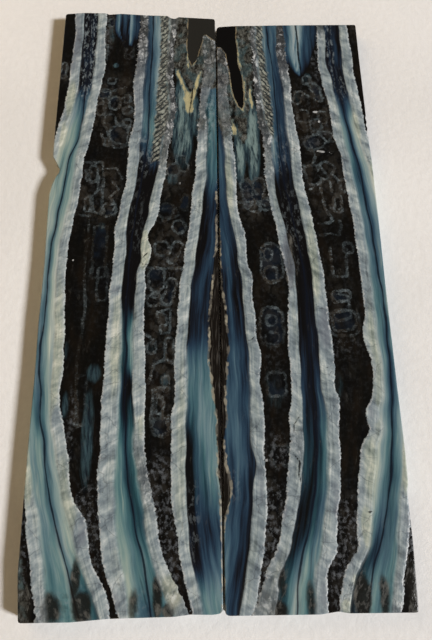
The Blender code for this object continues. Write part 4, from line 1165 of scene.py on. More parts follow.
    def layers(self) -> dict[Layer, Array]:
        """Every layer's values at the points."""
        pattern = self.pattern
        result = {Layer.FLOW: self.flow()} | self.enamel() | self.dentine()
        result[Layer.CREAM] = self.spots(pattern.creams) - self.spots(pattern.lilacs)
        result[Layer.SMUDGE] = self.spots(pattern.smudges)
        result[Layer.STAIN] = self.spots(pattern.stains)
        result[Layer.CELLS] = self.spots(pattern.cell_spots)
        result[Layer.GRIT] = self.spots(pattern.grit)
        result[Layer.FLECKS] = self.spots(pattern.flecks)
        result[Layer.LOOPS_A] = self.loops(pattern.loops_a)
        walls = tuple(tuple((*point, 0.0) for point in line) for line in pattern.walls)
        loops = np.abs(self.loops(pattern.loops_b))
        result[Layer.LOOPS_B] = np.minimum(loops, -self.deepest(stroke_depth, walls))
        result[Layer.SPECKS] = -self.loops(pattern.specks)
        result[Layer.RIBS] = self.deepest(polygon_depth, pattern.ribs)
        result[Layer.GRAVEL] = self.deepest(polygon_depth, pattern.gravel)
        result[Layer.VOID] = polygon_depth(self.x, self.y, pattern.void)
        result[Layer.YELLOW] = self.deepest(stroke_depth, pattern.yellow)
        result[Layer.CRACKS] = self.deepest(stroke_depth, pattern.cracks)
        inwards = 1.0 if pattern.seam is Side.RIGHT else -1.0
        past = (self.x - smooth_line(self.y, pattern.bead_line, 1)) * inwards
        above = np.maximum(self.y - pattern.bead_line[0][0] + BEAD_TURN, 0.0)
        high, low = pattern.fill_ends
        ends = np.minimum(high - self.y, self.y - low) * FILL_TAPER
        result[Layer.SEAM_FILL] = np.minimum(past, ends)
        result[Layer.BEADS] = np.where(past < 0.0, -1.0, 1.0) * np.hypot(past, above)
        return result


@dataclass(frozen=True)
class Wire:
    """A value on its way through a node tree, on which sums can be written as sums."""

    graph: "Graph"
    socket: Socket

    def __add__(self, other: "Value") -> "Wire":
        """The sum."""
        return self.graph.math("ADD", self, other)

    def __sub__(self, other: "Value") -> "Wire":
        """The difference."""
        return self.graph.math("SUBTRACT", self, other)

    def __mul__(self, other: "Value") -> "Wire":
        """The product."""
        return self.graph.math("MULTIPLY", self, other)

    def __abs__(self) -> "Wire":
        """The distance from nought."""
        return self.graph.math("ABSOLUTE", self)

    def flip(self) -> "Wire":
        """One less the value."""
        return self.graph.math("SUBTRACT", 1.0, self)


Value = Wire | float
Tint = Wire | Colour
Triple = tuple[float, float, float]
Scale = float | Triple


class Graph:
    """Writes a material's nodes, one expression at a time."""

    def __init__(self, name: str) -> None:
        """Starts an empty material.

        Args:
            name: The material's name.
        """
        self.material = bpy.data.materials.new(name)
        self.material.use_nodes = True
        self.tree = self.material.node_tree
        self.tree.nodes.clear()

    def node(self, kind: str, **settings: str | bool) -> bpy.types.Node:
        """Adds a node and sets its options."""
        node = self.tree.nodes.new(kind)
        for name, value in settings.items():
            setattr(node, name, value)
        return node

    def feed(self, socket: Socket, value: Value | Tint) -> None:
        """Links a wire to a socket, or sets a constant on it."""
        if isinstance(value, Wire):
            self.tree.links.new(value.socket, socket)
        else:
            socket.default_value = value

    def layer(self, layer: Layer, output: str = "Fac") -> Wire:
        """Reads what the vertices carry, as a number unless told otherwise."""
        node = self.node("ShaderNodeAttribute", attribute_type="GEOMETRY", attribute_name=layer.value)
        return Wire(self, node.outputs[output])

    def flow(self) -> Wire:
        """Reads the coordinates that follow the bands, in millimetres."""
        return self.layer(Layer.FLOW, "Vector")

    def place(self) -> Wire:
        """Reads the piece's own coordinates, in millimetres."""
        node = self.node("ShaderNodeTexCoord")
        return self.scaled(Wire(self, node.outputs["Object"]), (1 / MM, 1 / MM, 1 / MM))

    def vectors(self, operation: str, first: Wire, second: Wire | Triple) -> Wire:
        """Adds a sum on vectors."""
        node = self.node("ShaderNodeVectorMath", operation=operation)
        self.feed(node.inputs[0], first)
        self.feed(node.inputs[1], second)
        return Wire(self, node.outputs[0])

    def scaled(self, vector: Wire, scale: Triple) -> Wire:
        """Multiplies a vector's three numbers."""
        return self.vectors("MULTIPLY", vector, scale)

    def turned(self, vector: Wire, angle: float) -> Wire:
        """Turns a vector about the axis that points up."""
        node = self.node("ShaderNodeVectorRotate", rotation_type="Z_AXIS")
        self.feed(node.inputs["Vector"], vector)
        node.inputs["Angle"].default_value = angle
        return Wire(self, node.outputs[0])

    def part(self, vector: Wire, axis: str) -> Wire:
        """Reads one number of a vector."""
        node = self.node("ShaderNodeSeparateXYZ")
        self.feed(node.inputs[0], vector)
        return Wire(self, node.outputs[axis])

    def math(self, operation: str, first: Value, second: Value = 0.0) -> Wire:
        """Adds a sum on numbers."""
        node = self.node("ShaderNodeMath", operation=operation)
        self.feed(node.inputs[0], first)
        self.feed(node.inputs[1], second)
        return Wire(self, node.outputs[0])

    def step(self, value: Value, low: float, high: float) -> Wire:
        """Goes smoothly from 0 at low to 1 at high, or falls where low is the higher."""
        node = self.node("ShaderNodeMapRange", interpolation_type="SMOOTHSTEP")
        self.feed(node.inputs["Value"], value)
        node.inputs["From Min"].default_value = min(low, high)
        node.inputs["From Max"].default_value = max(low, high)
        node.inputs["To Min"].default_value = float(low > high)
        node.inputs["To Max"].default_value = float(low < high)
        return Wire(self, node.outputs["Result"])

    def line(self, distance: Wire, half_width: float, soft: float) -> Wire:
        """Is 1 on the line where a distance is nought, and fades to 0 beside it."""
        return self.step(abs(distance), half_width + soft, half_width)

    def texture(self, kind: str, vector: Wire, scale: Scale, **settings: str) -> bpy.types.Node:
        """Adds a texture, scaled evenly or by its own amount along each axis."""
        if isinstance(scale, tuple):
            vector, scale = self.scaled(vector, scale), 1.0
        node = self.node(kind, **settings)
        self.feed(node.inputs["Vector"], vector)
        node.inputs["Scale"].default_value = scale
        return node

    def noise(
        self, vector: Wire, scale: Scale, detail: float = 2.0, rough: float = 0.5, output: str = "Fac"
    ) -> Wire:
        """Cloudy noise from 0 to 1 with a mean of a half."""
        node = self.texture("ShaderNodeTexNoise", vector, scale)
        node.inputs["Detail"].default_value = detail
        node.inputs["Roughness"].default_value = rough
        return Wire(self, node.outputs[output])

    def sway(self, amount: float, vector: Wire, scale: Scale, *grain: float) -> Wire:
        """The same noise about nought: less a half, times an amount."""
        return (self.noise(vector, scale, *grain) - 0.5) * amount

    def wander(self, vector: Wire, scale: float, amount: float) -> Wire:
        """Moves a vector about: adds a coloured noise less a half, times an amount."""
        centred = self.vectors("SUBTRACT", self.noise(vector, scale, output="Color"), (0.5, 0.5, 0.5))
        return self.vectors("ADD", vector, self.scaled(centred, (amount, amount, amount)))

    def cells(self, vector: Wire, scale: Scale) -> tuple[Wire, Wire]:
        """Voronoi cells: the distance to the middle, and a number that differs by cell."""
        node = self.texture("ShaderNodeTexVoronoi", vector, scale)
        return Wire(self, node.outputs["Distance"]), self.part(Wire(self, node.outputs["Color"]), "X")

    def cell_walls(self, vector: Wire, scale: Scale) -> Wire:
        """The distance to the nearest wall between Voronoi cells."""
        node = self.texture("ShaderNodeTexVoronoi", vector, scale, feature="DISTANCE_TO_EDGE")
        return Wire(self, node.outputs["Distance"])

    def mix(self, share: Value, first: Tint, second: Tint) -> Wire:
        """Mixes two colours: 0 gives the first and 1 the second."""
        node = self.node("ShaderNodeMix", data_type="RGBA")
        self.feed(node.inputs["Factor"], share)
        self.feed(node.inputs[6], first)
        self.feed(node.inputs[7], second)
        return Wire(self, node.outputs[2])

    def mix_number(self, share: Value, first: Value, second: Value) -> Wire:
        """Mixes two numbers: 0 gives the first and 1 the second."""
        node = self.node("ShaderNodeMix", data_type="FLOAT")
        self.feed(node.inputs["Factor"], share)
        self.feed(node.inputs[2], first)
        self.feed(node.inputs[3], second)
        return Wire(self, node.outputs[0])

    def ramp(self, stops: Stations, value: Wire) -> Wire:
        """Reads a colour from rows of a share of the way and a display colour."""
        node = self.node("ShaderNodeValToRGB")
        self.feed(node.inputs["Fac"], value)
        elements = node.color_ramp.elements
        for element, row in zip(elements, (stops[0], stops[-1])):
            element.position = row[0]
            element.color = srgb(*row[1:])
        for position, *colour in stops[1:-1]:
            elements.new(position).color = srgb(*colour)
        return Wire(self, node.outputs["Color"])

    def finish(self, sockets: dict[str, Value | Tint], height: Wire, depth: float) -> bpy.types.Material:
        """Ends the tree with a principled surface.

        Args:
            sockets: What goes to which of its inputs.
            height: The bump's height, from 0 to 1.
            depth: How many millimetres a height of 1 stands for.

        Returns:
            The material.
        """
        bump = self.node("ShaderNodeBump")
        bump.inputs["Strength"].default_value = 1.0
        bump.inputs["Distance"].default_value = depth * MM
        self.feed(bump.inputs["Height"], height)
        surface = self.node("ShaderNodeBsdfPrincipled")
        for name, value in sockets.items():
            self.feed(surface.inputs[name], value)
        self.tree.links.new(bump.outputs["Normal"], surface.inputs["Normal"])
        output = self.node("ShaderNodeOutputMaterial")
        self.tree.links.new(surface.outputs["BSDF"], output.inputs["Surface"])
        return self.material


@dataclass(frozen=True)
class ToothFinish:
    """The polished cut through enamel, dentine and cement, with dyed resin in it.

    rib_lean is how steeply the herringbone's ribs rise across the slab, plus to the
    right and minus to the left. void is the resin in the hollow; a lighter grey there
    is a painted reflection, the resin's sheen put into its colour. enamel_lift is
    added to the enamel's tone; a lower lift is painted shade, the same enamel shown
    darker as if less lit.

    The last five tables are ramps: a share of the way, then red, green and blue from 0
    to 255. blue and green take dentine from unstained cream to near black, where green
    has a greener dye. cold and warm take enamel from its darkest to near white, where
    warm is creamy. rubble goes from the dark between its lumps to the glints on them.
    """

    name: str
    rib_lean: float
    void: Colour
    enamel_lift: float
    enamel_lilac: Colour = srgb(108, 114, 124)
    # The near-white of the painted highlights on the enamel; the cement's real white specks use it too.
    enamel_glint: Colour = srgb(208, 214, 213)
    enamel_crack: Colour = srgb(58, 62, 68)
    enamel_cream: Colour = srgb(170, 180, 164)
    crumble_dark: Colour = srgb(20, 20, 20)
    crumble_pale: Colour = srgb(140, 144, 148)
    cell_brown: Colour = srgb(62, 60, 54)
    cement: Colour = srgb(5, 5, 4)
    cement_brown: Colour = srgb(19, 14, 8)
    cement_black: Colour = srgb(2, 3, 5)
    cell_line: Colour = srgb(66, 78, 82)
    cell_bright: Colour = srgb(132, 146, 150)
    grit: Colour = srgb(90, 96, 100)
    stain_navy: Colour = srgb(12, 23, 35)
    stain_teal: Colour = srgb(58, 84, 91)
    stain_pale: Colour = srgb(120, 143, 141)
    fissure: Colour = srgb(10, 16, 28)
    rib_brown: Colour = srgb(66, 62, 54)
    rib_cream: Colour = srgb(150, 155, 143)
    rib_dark: Colour = srgb(14, 15, 14)
    gravel_grey: Colour = srgb(96, 99, 92)
    gravel_dark: Colour = srgb(24, 23, 20)
    gravel_teal: Colour = srgb(66, 92, 96)
    yellow: Colour = srgb(184, 178, 136)
    smudge_dark: Colour = srgb(22, 21, 17)
    smudge_grey: Colour = srgb(88, 88, 82)
    rim: Colour = srgb(136, 124, 96)
    fill: Colour = srgb(18, 15, 12)
    fill_streak: Colour = srgb(76, 74, 68)
    bead: Colour = srgb(168, 164, 144)
    blue: Stations = (
        (0.0, 192, 200, 192), (0.13, 152, 166, 166), (0.28, 119, 142, 149), (0.42, 90, 117, 128),
        (0.55, 62, 91, 107), (0.68, 41, 67, 86), (0.8, 28, 46, 64), (0.9, 18, 25, 36), (1.0, 8, 8, 10),
    )
    green: Stations = (
        (0.0, 194, 200, 180), (0.13, 154, 170, 158), (0.28, 120, 146, 142), (0.42, 88, 124, 126),
        (0.55, 58, 98, 104), (0.68, 36, 72, 80), (0.8, 23, 48, 56), (0.9, 13, 27, 34), (1.0, 6, 9, 11),
    )
    cold: Stations = (
        (0.22, 80, 92, 99), (0.38, 116, 130, 136), (0.5, 141, 155, 158), (0.62, 167, 179, 179),
        (0.78, 204, 212, 210),
    )
    warm: Stations = (
        (0.22, 94, 105, 98), (0.38, 126, 138, 129), (0.5, 149, 160, 149), (0.62, 173, 181, 166),
        (0.78, 206, 210, 196),
    )
    rubble: Stations = (
        (0.3, 24, 23, 21), (0.42, 62, 62, 61), (0.52, 101, 104, 105), (0.63, 142, 147, 148),
        (0.78, 206, 211, 210),
    )

    def cement_colour(self, graph: Graph, flow: Wire, place: Wire) -> tuple[Wire, Wire]:
        """Near-black cement with cell outlines.

        Args:
            graph: The tree to write in.
            flow: The coordinates that follow the bands.
            place: The piece's own coordinates.

        Returns:
            The colour, and the height of the outlines and grit.
        """
        cloud = graph.noise(flow, (0.4, 0.1, 0.4), 3.0, 0.6)
        colour = graph.mix(graph.step(cloud, 0.45, 0.75), self.cement, self.cement_brown)
        colour = graph.mix(graph.step(cloud, 0.46, 0.3), colour, self.cement_black)
        fibres = graph.noise(flow, (1.9, 0.22, 1.5), 4.0, 0.66)
        stain = graph.layer(Layer.STAIN)
        patchy = stain * (graph.noise(flow, (1.3, 0.22, 0.9), 4.0, 0.7) * 2.0 + -0.1)
        tint = graph.mix(graph.step(fibres, 0.3, 0.66), self.stain_navy, self.stain_teal)
        tint = graph.mix(graph.step(patchy + (fibres - 0.5) * 2.2, 0.9, 2.2), tint, self.stain_pale)
        colour = graph.mix(graph.step(patchy, 0.15, 0.75) * 0.9, colour, tint)

        moved = graph.wander(place, 0.5, 1.6)
        wobble = graph.sway(1.5, place, 0.8, 3.0, 0.62)
        first = graph.layer(Layer.LOOPS_A) + wobble
        second = graph.layer(Layer.LOOPS_B) - wobble * 0.55
        inside = graph.step(first, -0.1, -0.4)
        navy = graph.step(graph.noise(place, 0.2), 0.46, 0.6)
        pit = graph.mix(navy, self.cement_black, self.stain_navy)
        colour = graph.mix(inside * 0.7, colour, pit)
        thin = graph.noise(place, 1.1, 4.0, 0.7)
        wall = graph.step(abs(first) - thin * 0.5, 0.14, -0.1)
        inner = graph.step(abs(second) - thin * 0.5, 0.14, -0.12)
        cells = graph.layer(Layer.CELLS)
        lump, _ = graph.cells(moved, (0.62, 0.5, 0.6))
        soft = graph.step(lump - (thin - 0.5) * 0.9, 0.62, 0.3) * graph.step(cells, 0.1, 0.9)
        colour = graph.mix(soft * 0.3, colour, self.cell_brown)
        drawn = graph.math("MAXIMUM", wall, inner)
        broken = graph.step(graph.noise(place, 0.6, 5.0, 0.8), 0.38, 0.6)
        drawn = drawn * (broken * 0.65 + 0.12) * (graph.step(cells, 0.0, 0.6) * 0.8 + 0.2)
        bright = graph.step(graph.noise(place, 1.7, 3.0, 0.75), 0.48, 0.68)
        line_tint = graph.mix(graph.step(cloud, 0.46, 0.58), self.cell_line, self.cell_brown)
        colour = graph.mix(drawn, colour, graph.mix(bright * 0.85, line_tint, self.cell_bright))

        gritty = graph.step(graph.layer(Layer.GRIT), 0.1, 0.9)
        grit_noise = graph.noise(place, (1.3, 1.1, 1.5), 3.0, 0.68)
        grit = graph.step(grit_noise, 0.46, 0.74) * (gritty * 0.75 + cells * 0.12 + 0.03)
        colour = graph.mix(grit, colour, self.grit)
        specks = graph.step(graph.layer(Layer.SPECKS) + wobble * 0.2, -0.05, 0.1)
        colour = graph.mix(specks * 0.65, colour, self.enamel_glint)
        return colour, graph.math("MAXIMUM", drawn, grit)

    def dentine_colour(self, graph: Graph, flow: Wire, place: Wire) -> Wire:
        """Dentine stained along its grain, with its fissures and ribs.

        Args:
            graph: The tree to write in.
            flow: The coordinates that follow the bands.
            place: The piece's own coordinates.

        Returns:
            The colour: the stain's depth, moved by noise drawn out along the bands,
            picks it from the two ramps.
        """
        drift = graph.wander(flow, 0.11, 0.7)
        broad = graph.noise(drift, (0.55, 0.045, 0.8), 2.0, 0.5)
        grain = graph.noise(drift, (1.5, 0.06, 1.0), 4.0, 0.66)
        dye = graph.layer(Layer.DYE) + (broad - 0.5) * 0.7 + (grain - 0.5) * 0.6
        tint = graph.layer(Layer.GREEN) + graph.sway(1.5, drift, (0.7, 0.05, 0.6), 3.0)
        green = graph.step(tint, 0.1, 1.0)
        colour = graph.mix(green, graph.ramp(self.blue, dye), graph.ramp(self.green, dye))
        thread = graph.noise(drift, (1.7, 0.06, 1.6), 3.0, 0.6)
        bleached = graph.step(thread, 0.56, 0.74) * graph.step(dye, 0.75, 0.25) * 0.5
        colour = graph.mix(bleached, colour, self.enamel_cream)
        colour = graph.mix(graph.step(thread, 0.4, 0.28) * 0.45, colour, self.fissure)
        flecked = graph.step(graph.layer(Layer.FLECKS), 0.1, 0.9)
        crumbs = graph.noise(flow, (1.25, 0.6, 1.2), 3.0, 0.68)
        colour = graph.mix(graph.step(crumbs, 0.48, 0.38) * flecked * 0.55, colour, self.cement_black)
        colour = graph.mix(graph.step(crumbs, 0.5, 0.62) * flecked * 0.6, colour, self.cell_bright)

        wobble = graph.sway(1.0, flow, (0.3, 0.1, 0.5), 2.0, 0.5)
        width = graph.noise(flow, (0.1, 0.16, 0.2), 3.0, 0.6)
        away = abs(graph.layer(Layer.FISSURE) + wobble)
        glow = graph.step(away - width * 0.7, 0.55, -0.4)
        colour = graph.mix(glow * 0.55, colour, graph.ramp(self.blue, dye * 0.4 + 0.52))
        dark = graph.step(away - width * 0.4, 0.04, -0.12)
        colour = graph.mix(dark * 0.85, colour, self.fissure)

        height = graph.part(flow, "Y")
        across = graph.part(flow, "X")
        rib_noise = graph.noise(place, 0.6, 4.0, 0.65)
        bend = (rib_noise - 0.5) * 2.0
        slant = height * 0.74 - across * (0.95 * self.rib_lean) + bend
        fraction = graph.math("PINGPONG", slant, 0.5) * 2.0
        ribs = graph.step(graph.layer(Layer.RIBS) + (rib_noise - 0.5) * 1.4, -0.3, 0.35)
        pale = graph.step(graph.noise(place, 0.9, 4.0, 0.7), 0.42, 0.6)
        rib_tint = graph.mix(pale, self.rib_brown, self.rib_cream)
        rib_colour = graph.mix(graph.step(fraction, 0.12, 0.62), self.rib_dark, rib_tint)
        return graph.mix(ribs * 0.9, colour, rib_colour)

    def gravel_colour(self, graph: Graph, place: Wire) -> tuple[Wire, Wire]:
        """Crumbled filling of small lumps.

        Args:
            graph: The tree to write in.
            place: The piece's own coordinates.

        Returns:
            The colour, and each lump's height.
        """
        moved = graph.wander(place, 0.9, 1.2)
        edge = graph.cell_walls(moved, (1.2, 0.6, 1.0))
        tone = graph.noise(place, (1.2, 0.7, 1.0), 5.0, 0.74)
        body = graph.mix(graph.step(tone, 0.4, 0.64), self.gravel_dark, self.gravel_grey)
        teal = graph.step(graph.noise(place, 0.35, 2.0), 0.48, 0.62)
        body = graph.mix(teal * 0.5, body, self.gravel_teal)
        body = graph.mix(graph.step(tone, 0.58, 0.74) * 0.7, body, self.crumble_pale)
        lump = graph.step(edge, 0.0, 0.16)
        return graph.mix(lump * 0.5 + 0.5, self.gravel_dark, body), lump

    def enamel_parts(self, graph: Graph, flow: Wire, place: Wire) -> tuple[Wire, Wire, Wire]:
        """The enamel's extent, colour and height.

        Args:
            graph: The tree to write in.
            flow: The coordinates that follow the bands.
            place: The piece's own coordinates.

        Returns:
            How much enamel there is, its colour, and its height. Its edge is moved by
            noise and by rounded lumps, more on the cement side than on the other. The colour
            carries painted highlights: near-white glints along the cement-side edge and
            specks on the crumbled parts.
        """
        side = graph.layer(Layer.CEMENT_SIDE)
        lumpy = graph.step(side, 0.35, 0.85)
        crumble = graph.step(graph.layer(Layer.CRUMBLE), 0.05, 0.95)
        wave = graph.noise(place, (0.7, 0.45, 0.8), 4.0, 0.6) - 0.5
        lump, which = graph.cells(graph.wander(place, 1.6, 0.4), 1.8)
        depth = graph.layer(Layer.ENAMEL) + wave * (lumpy * 0.2 + 0.3 + crumble * 0.9)
        depth = depth + (lump - 0.4) * lumpy * (crumble * -0.35 + -0.32)
        crisp = graph.step(depth, -0.06, 0.12)
        soft = graph.step(graph.layer(Layer.DYE), 0.95, 0.5)
        blurred = graph.mix_number(soft, graph.step(depth, -0.12, 0.16), graph.step(depth, -0.5, 0.45))
        there = graph.mix_number(lumpy, blurred, crisp)

        leaning = graph.turned(graph.wander(place, 0.3, 1.4), -0.6 * self.rib_lean)
        veins = graph.noise(leaning, (0.24, 0.62, 0.5), 4.0, 0.6)
        threads = graph.noise(flow, (2.6, 0.13, 2.0), 3.0, 0.6)
        fine = graph.noise(place, (1.3, 0.9, 1.3), 4.0, 0.72)
        tone = veins + (threads - 0.5) * (lumpy.flip() * 0.5 + 0.12) + (fine - 0.5) * 0.2 + self.enamel_lift
        tone = tone + graph.layer(Layer.CREAM) * 0.07
        hue = graph.noise(flow, (0.7, 0.12, 0.6), 3.0, 0.6) - 0.5
        hue = graph.layer(Layer.CREAM) + hue * 0.8 + lumpy.flip() * 0.25
        creamy = graph.step(hue, 0.05, 0.85)
        colour = graph.mix(creamy, graph.ramp(self.cold, tone), graph.ramp(self.warm, tone))
        colour = graph.mix(graph.step(hue, -0.2, -0.9) * 0.5, colour, self.enamel_lilac)
        # Painted highlight: near-white glints on the lumps along the cement-side edge, standing in for light
        # caught by the edge's relief.
        near_cement = graph.step(depth, 0.5, 0.12) * lumpy
        glint = near_cement * (graph.step(which, 0.3, 0.85) * 0.5 + 0.05)
        colour = graph.mix(glint, colour, self.enamel_glint)
        edge = graph.cell_walls(graph.wander(flow, 0.6, 1.2), (0.1, 0.12, 0.2))
        crack = graph.line(edge, 0.001, 0.01)
        colour = graph.mix(crack * 0.4, colour, self.enamel_crack)

        shard = graph.scaled(graph.wander(place, 1.2, 0.8), (0.85, 0.42, 0.9))
        gap = graph.cell_walls(shard, 1.0)
        _, piece = graph.cells(shard, 1.0)
        rubble = graph.ramp(self.rubble, fine * 1.2 + veins * 0.5 + piece * 0.42 + -0.585)
        between = graph.step(gap - fine * 0.1, 0.08, -0.03) * graph.step(crumble, 0.2, 0.5) * 0.95
        rubble = graph.mix(between, rubble, self.crumble_dark)
        colour = graph.mix(crumble * 0.9, colour, rubble)
        # Painted highlight: sparse near-white specks on the crumbled enamel, standing in for light caught by
        # its lumps.
        glints = graph.step(fine, 0.6, 0.7) * (crumble * 0.5 + 0.15)
        colour = graph.mix(glints, colour, self.enamel_glint)
        height = graph.step(depth, -0.1, 0.35) - crack * 0.3 + (veins - 0.5) * 0.3 + (fine - 0.5) * crumble
        return there, colour, height

    def material(self) -> bpy.types.Material:
        """Lays the parts over each other, from the cement up to the enamel."""
        graph = Graph(self.name)
        flow = graph.flow()
        place = graph.place()
        colour, raised = self.cement_colour(graph, flow, place)
        rag = graph.sway(0.9, place, 1.1, 3.0, 0.6)
        dentine = graph.step(graph.layer(Layer.DENTINE) + rag, -0.1, 0.12)
        colour = graph.mix(dentine, colour, self.dentine_colour(graph, flow, place))
        gravel_body, lump = self.gravel_colour(graph, place)
        gravel = graph.step(graph.layer(Layer.GRAVEL) + rag * 1.6, -0.25, 0.35)
        colour = graph.mix(gravel, colour, gravel_body)

        streak = graph.noise(flow, (3.0, 0.2, 2.0), 3.0, 0.6)
        fill_body = graph.mix(graph.step(streak, 0.5, 0.72) * 0.7, self.fill, self.fill_streak)
        fill = graph.step(graph.layer(Layer.SEAM_FILL) + rag * 0.6, -0.08, 0.12)
        colour = graph.mix(fill, colour, fill_body)
        bead_lump, bead_tone = graph.cells(place, (0.9, 0.75, 0.9))
        bead = graph.step(abs(graph.layer(Layer.BEADS) + rag * 0.6) + bead_lump * 0.35, 0.5, 0.3)
        bead = bead * graph.step(graph.noise(place, 0.45, 2.0), 0.38, 0.55)
        colour = graph.mix(bead * 0.85, colour, graph.mix(bead_tone, self.fill_streak, self.bead))

        torn = graph.noise(flow, (0.9, 0.28, 0.8), 4.0, 0.7)
        smudge = graph.step(graph.layer(Layer.SMUDGE) + (torn - 0.5) * 1.6, 0.1, 1.1)
        smudge_tint = graph.mix(graph.step(torn, 0.5, 0.68), self.smudge_dark, self.smudge_grey)
        colour = graph.mix(smudge * 0.9, colour, smudge_tint)
        enamel, enamel_colour, enamel_height = self.enamel_parts(graph, flow, place)
        colour = graph.mix(enamel, colour, enamel_colour)
        colour = graph.mix(smudge * 0.5, colour, smudge_tint)
        ground = graph.step(graph.layer(Layer.GRAVEL) + rag * 1.8, 0.1, 0.6) * 0.55
        colour = graph.mix(ground, colour, gravel_body)
        fray = graph.noise(flow, (1.1, 0.4, 1.0), 4.0, 0.7)
        yellow = graph.step(graph.layer(Layer.YELLOW) + (fray - 0.5) * 1.6, -0.35, 0.35)
        yellow_tint = graph.mix(graph.step(yellow, 0.35, 0.85), self.stain_pale, self.yellow)
        colour = graph.mix(yellow * (fray + 0.3), colour, yellow_tint)
        crack = graph.step(graph.layer(Layer.CRACKS) + rag * 0.3, -0.06, 0.08)
        colour = graph.mix(crack * 0.9, colour, self.cement_black)
        edge = graph.layer(Layer.VOID) + rag * 0.5
        void = graph.step(edge, -0.03, 0.06)
        rim = graph.line(edge + 0.08, 0.05, 0.14) * graph.step(graph.noise(place, 0.8, 2.0), 0.35, 0.6)
        colour = graph.mix(rim * 0.8, colour, self.rim)
        colour = graph.mix(void, colour, self.void)

        grain = graph.noise(place, 6.0, 4.0, 0.6)
        height = enamel * enamel_height + enamel.flip() * raised * 0.5
        height = height * 0.6 * void.flip() + lump * gravel * 0.3 + grain * 0.12
        clear = graph.step(graph.part(colour, "X"), 0.03, 0.003)
        rough = grain * 0.06 + 0.33 - graph.math("MAXIMUM", clear * 0.18, void * 0.16)
        sockets = {
            "Base Color": colour,
            "Roughness": rough,
            "IOR": 1.47,
            "Coat Weight": 0.2,
            "Coat Roughness": 0.14,
        }
        return graph.finish(sockets, height, 0.06)


@dataclass(frozen=True)
class PaperFinish:
    """Plain pale paper with a faint tooth."""

    name: str = "pale_paper"
    pale: Colour = srgb(230, 231, 227)
    shade: Colour = srgb(222, 223, 219)

    def material(self) -> bpy.types.Material:
        """Mixes two pale tints by a slow noise, with a fine grain in the bump."""
        graph = Graph(self.name)
        place = graph.place()
        cloud = graph.noise(place, 0.02, 3.0, 0.5)
        grain = graph.noise(place, 0.7, 5.0, 0.62)
        colour = graph.mix(graph.step(cloud + (grain - 0.5) * 0.5, 0.3, 0.7), self.pale, self.shade)
        return graph.finish({"Base Color": colour, "Roughness": grain * 0.1 + 0.8}, grain, 0.1)


@dataclass
class ToothSlab:
    """One polished slab of the pair.

    Lengths are millimetres: how far enamel stands above the rest, how far the hollow's
    resin has sunk, how wide those steps are, how deep the saw's ripples go, how far
    they keep from the faces, and how near the outermost places a wall counts as one.
    saw_wave is the ripple's radians for each millimetre across, along and up.
    """

    name: str
    node: str
    slot: str
    pattern: SlabPattern
    finish: ToothFinish
    enamel_stand: float = 0.014
    void_drop: float = 0.03
    soft_edge: float = 0.5
    saw_ripple: float = 0.02
    saw_wave: Triple = (0.5, 0.35, 7.0)
    saw_clear: float = 0.3
    saw_reach: float = 1.5

    def relief(self, points: Array, layers: dict[Layer, Array], thickness: float) -> Array:
        """Gives the polished face and the sawn wall their true unevenness.

        Args:
            points: The slab's points in millimetres.
            layers: The pattern's values there.
            thickness: The slab's thickness.

        Returns:
            The points, moved: on the face the hard enamel stands a little proud and
            the resin in the hollow has sunk. On the wall, ripples that run across
            it draw the surface in.
        """
        moved = points.copy()
        top = points[:, 2] > thickness - 0.001
        enamel = np.clip(layers[Layer.ENAMEL] / self.soft_edge + 0.5, 0.0, 1.0)
        hollow = np.clip(layers[Layer.VOID] / self.soft_edge, 0.0, 1.0)
        rise = self.enamel_stand * (enamel - 1.0) - self.void_drop * hollow
        moved[:, 2] += np.where(top, rise, 0.0)
        wall = (points[:, 2] > self.saw_clear) & (points[:, 2] < thickness - self.saw_clear)
        middle = (points.max(axis=0) + points.min(axis=0)) / 2.0
        wave_x, wave_y, wave_z = self.saw_wave
        angle = points[:, 2] * wave_z + wave_y * points[:, 1] + wave_x * points[:, 0]
        ripple = 0.5 + 0.5 * np.sin(angle)
        for axis in (0, 1):
            away = points[:, axis] - middle[axis]
            reach = np.abs(away).max()
            inwards = np.where(np.abs(away) > reach - self.saw_reach, -np.sign(away), 0.0)
            moved[:, axis] += np.where(wall, inwards * ripple * self.saw_ripple, 0.0)
        return moved

    def build(self) -> bpy.types.Object:
        """Makes the slab, writes its pattern on it and puts it in its node's place.

        Returns:
            The finished piece.
        """
        low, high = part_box(self.node)
        thickness = (high.z - low.z) / MM
        plate = PlateMesh(outline_of(self.node), thickness)
        points = plate.points()
        layers = PatternMap(self.pattern, points, thickness).layers()
        quads = plate.quads()
        places = self.relief(points, layers, thickness) * MM
        piece = add_mesh(self.name, places, quads, self.finish.material())
        piece.data.shade_smooth()
        for layer, values in layers.items():
            kind, field = ("FLOAT_VECTOR", "vector") if values.ndim == 2 else ("FLOAT", "value")
            attribute = piece.data.attributes.new(layer.value, kind, "POINT")
            attribute.data.foreach_set(field, values.astype(np.float32).ravel())
        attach(piece, "root")
        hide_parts(self.node)
        LOG.info("%s: %d points, %d triangles", self.name, len(points), 2 * len(quads))
        return piece


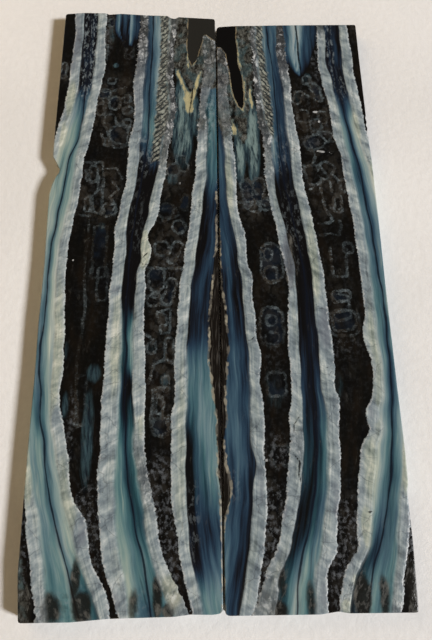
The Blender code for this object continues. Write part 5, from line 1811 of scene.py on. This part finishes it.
@dataclass
class Stage:
    """The paper floor, the light and the camera."""

    paper: PaperFinish
    floor_reach: float = 3.0
    floor_lines: int = 25

    def floor(self) -> bpy.types.Object:
        """Makes the floor: a square grid that lies level at the slabs' backs."""
        steps = np.linspace(-self.floor_reach, self.floor_reach, self.floor_lines)
        x, y = np.meshgrid(steps, steps)
        points = np.column_stack((x.ravel(), y.ravel(), np.zeros(x.size)))
        quads = grid_quads(np.arange(x.size).reshape(x.shape))
        piece = add_mesh("floor", points, quads, self.paper.material())
        return piece

    def lamp(
        self,
        name: str,
        towards: Vector,
        distance: float,
        size: float,
        watts: float,
        colour: Point,
        mirrored: bool = True,
    ) -> None:
        """Adds a square soft light that faces the slabs.

        Args:
            name: The light's name.
            towards: The direction from the slabs to the light.
            distance: How far away it is, in metres.
            size: Its side, in metres.
            watts: Its power.
            colour: Its green and blue, where red is 1.
            mirrored: Whether polished surfaces mirror it.
        """
        light = bpy.data.lights.new(name, "AREA")
        light.shape = "SQUARE"
        light.size = size
        light.energy = watts
        light.color = (1.0, *colour)
        piece = add_object(name, light)
        piece.location = towards.normalized() * distance
        piece.rotation_euler = towards.to_track_quat("Z", "Y").to_euler()
        piece.visible_glossy = mirrored

    def light(self) -> None:
        """Lights the pair from low on its right, with warm fills on the left and below."""
        self.lamp("key", Vector((4.15, -1.7, 3.2)), 2.5, 0.4, 80.0, (0.97, 1.0))
        self.lamp("left_fill", Vector((-1.0, 0.85, 0.8)), 0.45, 0.35, 0.62, (0.68, 0.34), False)
        self.lamp("near_fill", Vector((-0.2, -1.0, 0.9)), 2.0, 1.4, 4.0, (0.78, 0.55))
        world = bpy.data.worlds.new("room")
        world.use_nodes = True
        background = world.node_tree.nodes["Background"]
        background.inputs["Color"].default_value = (1.0, 0.86, 0.7, 1.0)
        background.inputs["Strength"].default_value = 0.07
        bpy.context.scene.world = world
        bpy.context.scene.view_settings.view_transform = "Standard"

    def camera(self) -> None:
        """Sets the camera above the pair, a little below its middle and tilted back."""
        lens = bpy.data.cameras.new("camera")
        lens.sensor_fit = "VERTICAL"
        lens.sensor_height = 24.0
        lens.lens = 21.0
        lens.clip_start = 0.001
        piece = add_object("camera", lens)
        right = Vector((0.999895, -0.014462, 0.0))
        back = Vector((-0.004202, -0.290500, 0.956866))
        axes = Matrix((right, back.cross(right), back)).transposed().to_4x4()
        place = Vector((-0.1616, -42.7747, 106.616)) * MM
        piece.matrix_world = Matrix.Translation(place) @ axes
        bpy.context.scene.camera = piece


def main() -> None:
    """Builds the stage and the two slabs."""
    logging.basicConfig(level=logging.INFO, format="%(name)s: %(message)s")
    stage = Stage(PaperFinish())
    stage.camera()
    stage.floor()
    stage.light()
    # The left slab's hollow resin is a lighter grey than the right's near black: painted reflection, the grey
    # sheen on the resin put into its colour.
    left_finish = ToothFinish("left_tooth_cut", 1.0, srgb(35, 35, 32), -0.015)
    # The right slab's lower enamel_lift darkens its enamel against the left's: painted shade, the same enamel
    # shown as if less lit.
    right_finish = ToothFinish("right_tooth_cut", -1.1, srgb(5, 5, 6), -0.055)
    slabs = (
        ToothSlab("left_tooth_slab", "left_slab", "left_tooth", LEFT_PATTERN, left_finish),
        ToothSlab("right_tooth_slab", "right_slab", "right_tooth", RIGHT_PATTERN, right_finish),
    )
    for slab in slabs:
        slab.build()
    bpy.context.view_layer.update()


if __name__ == "__main__":
    main()
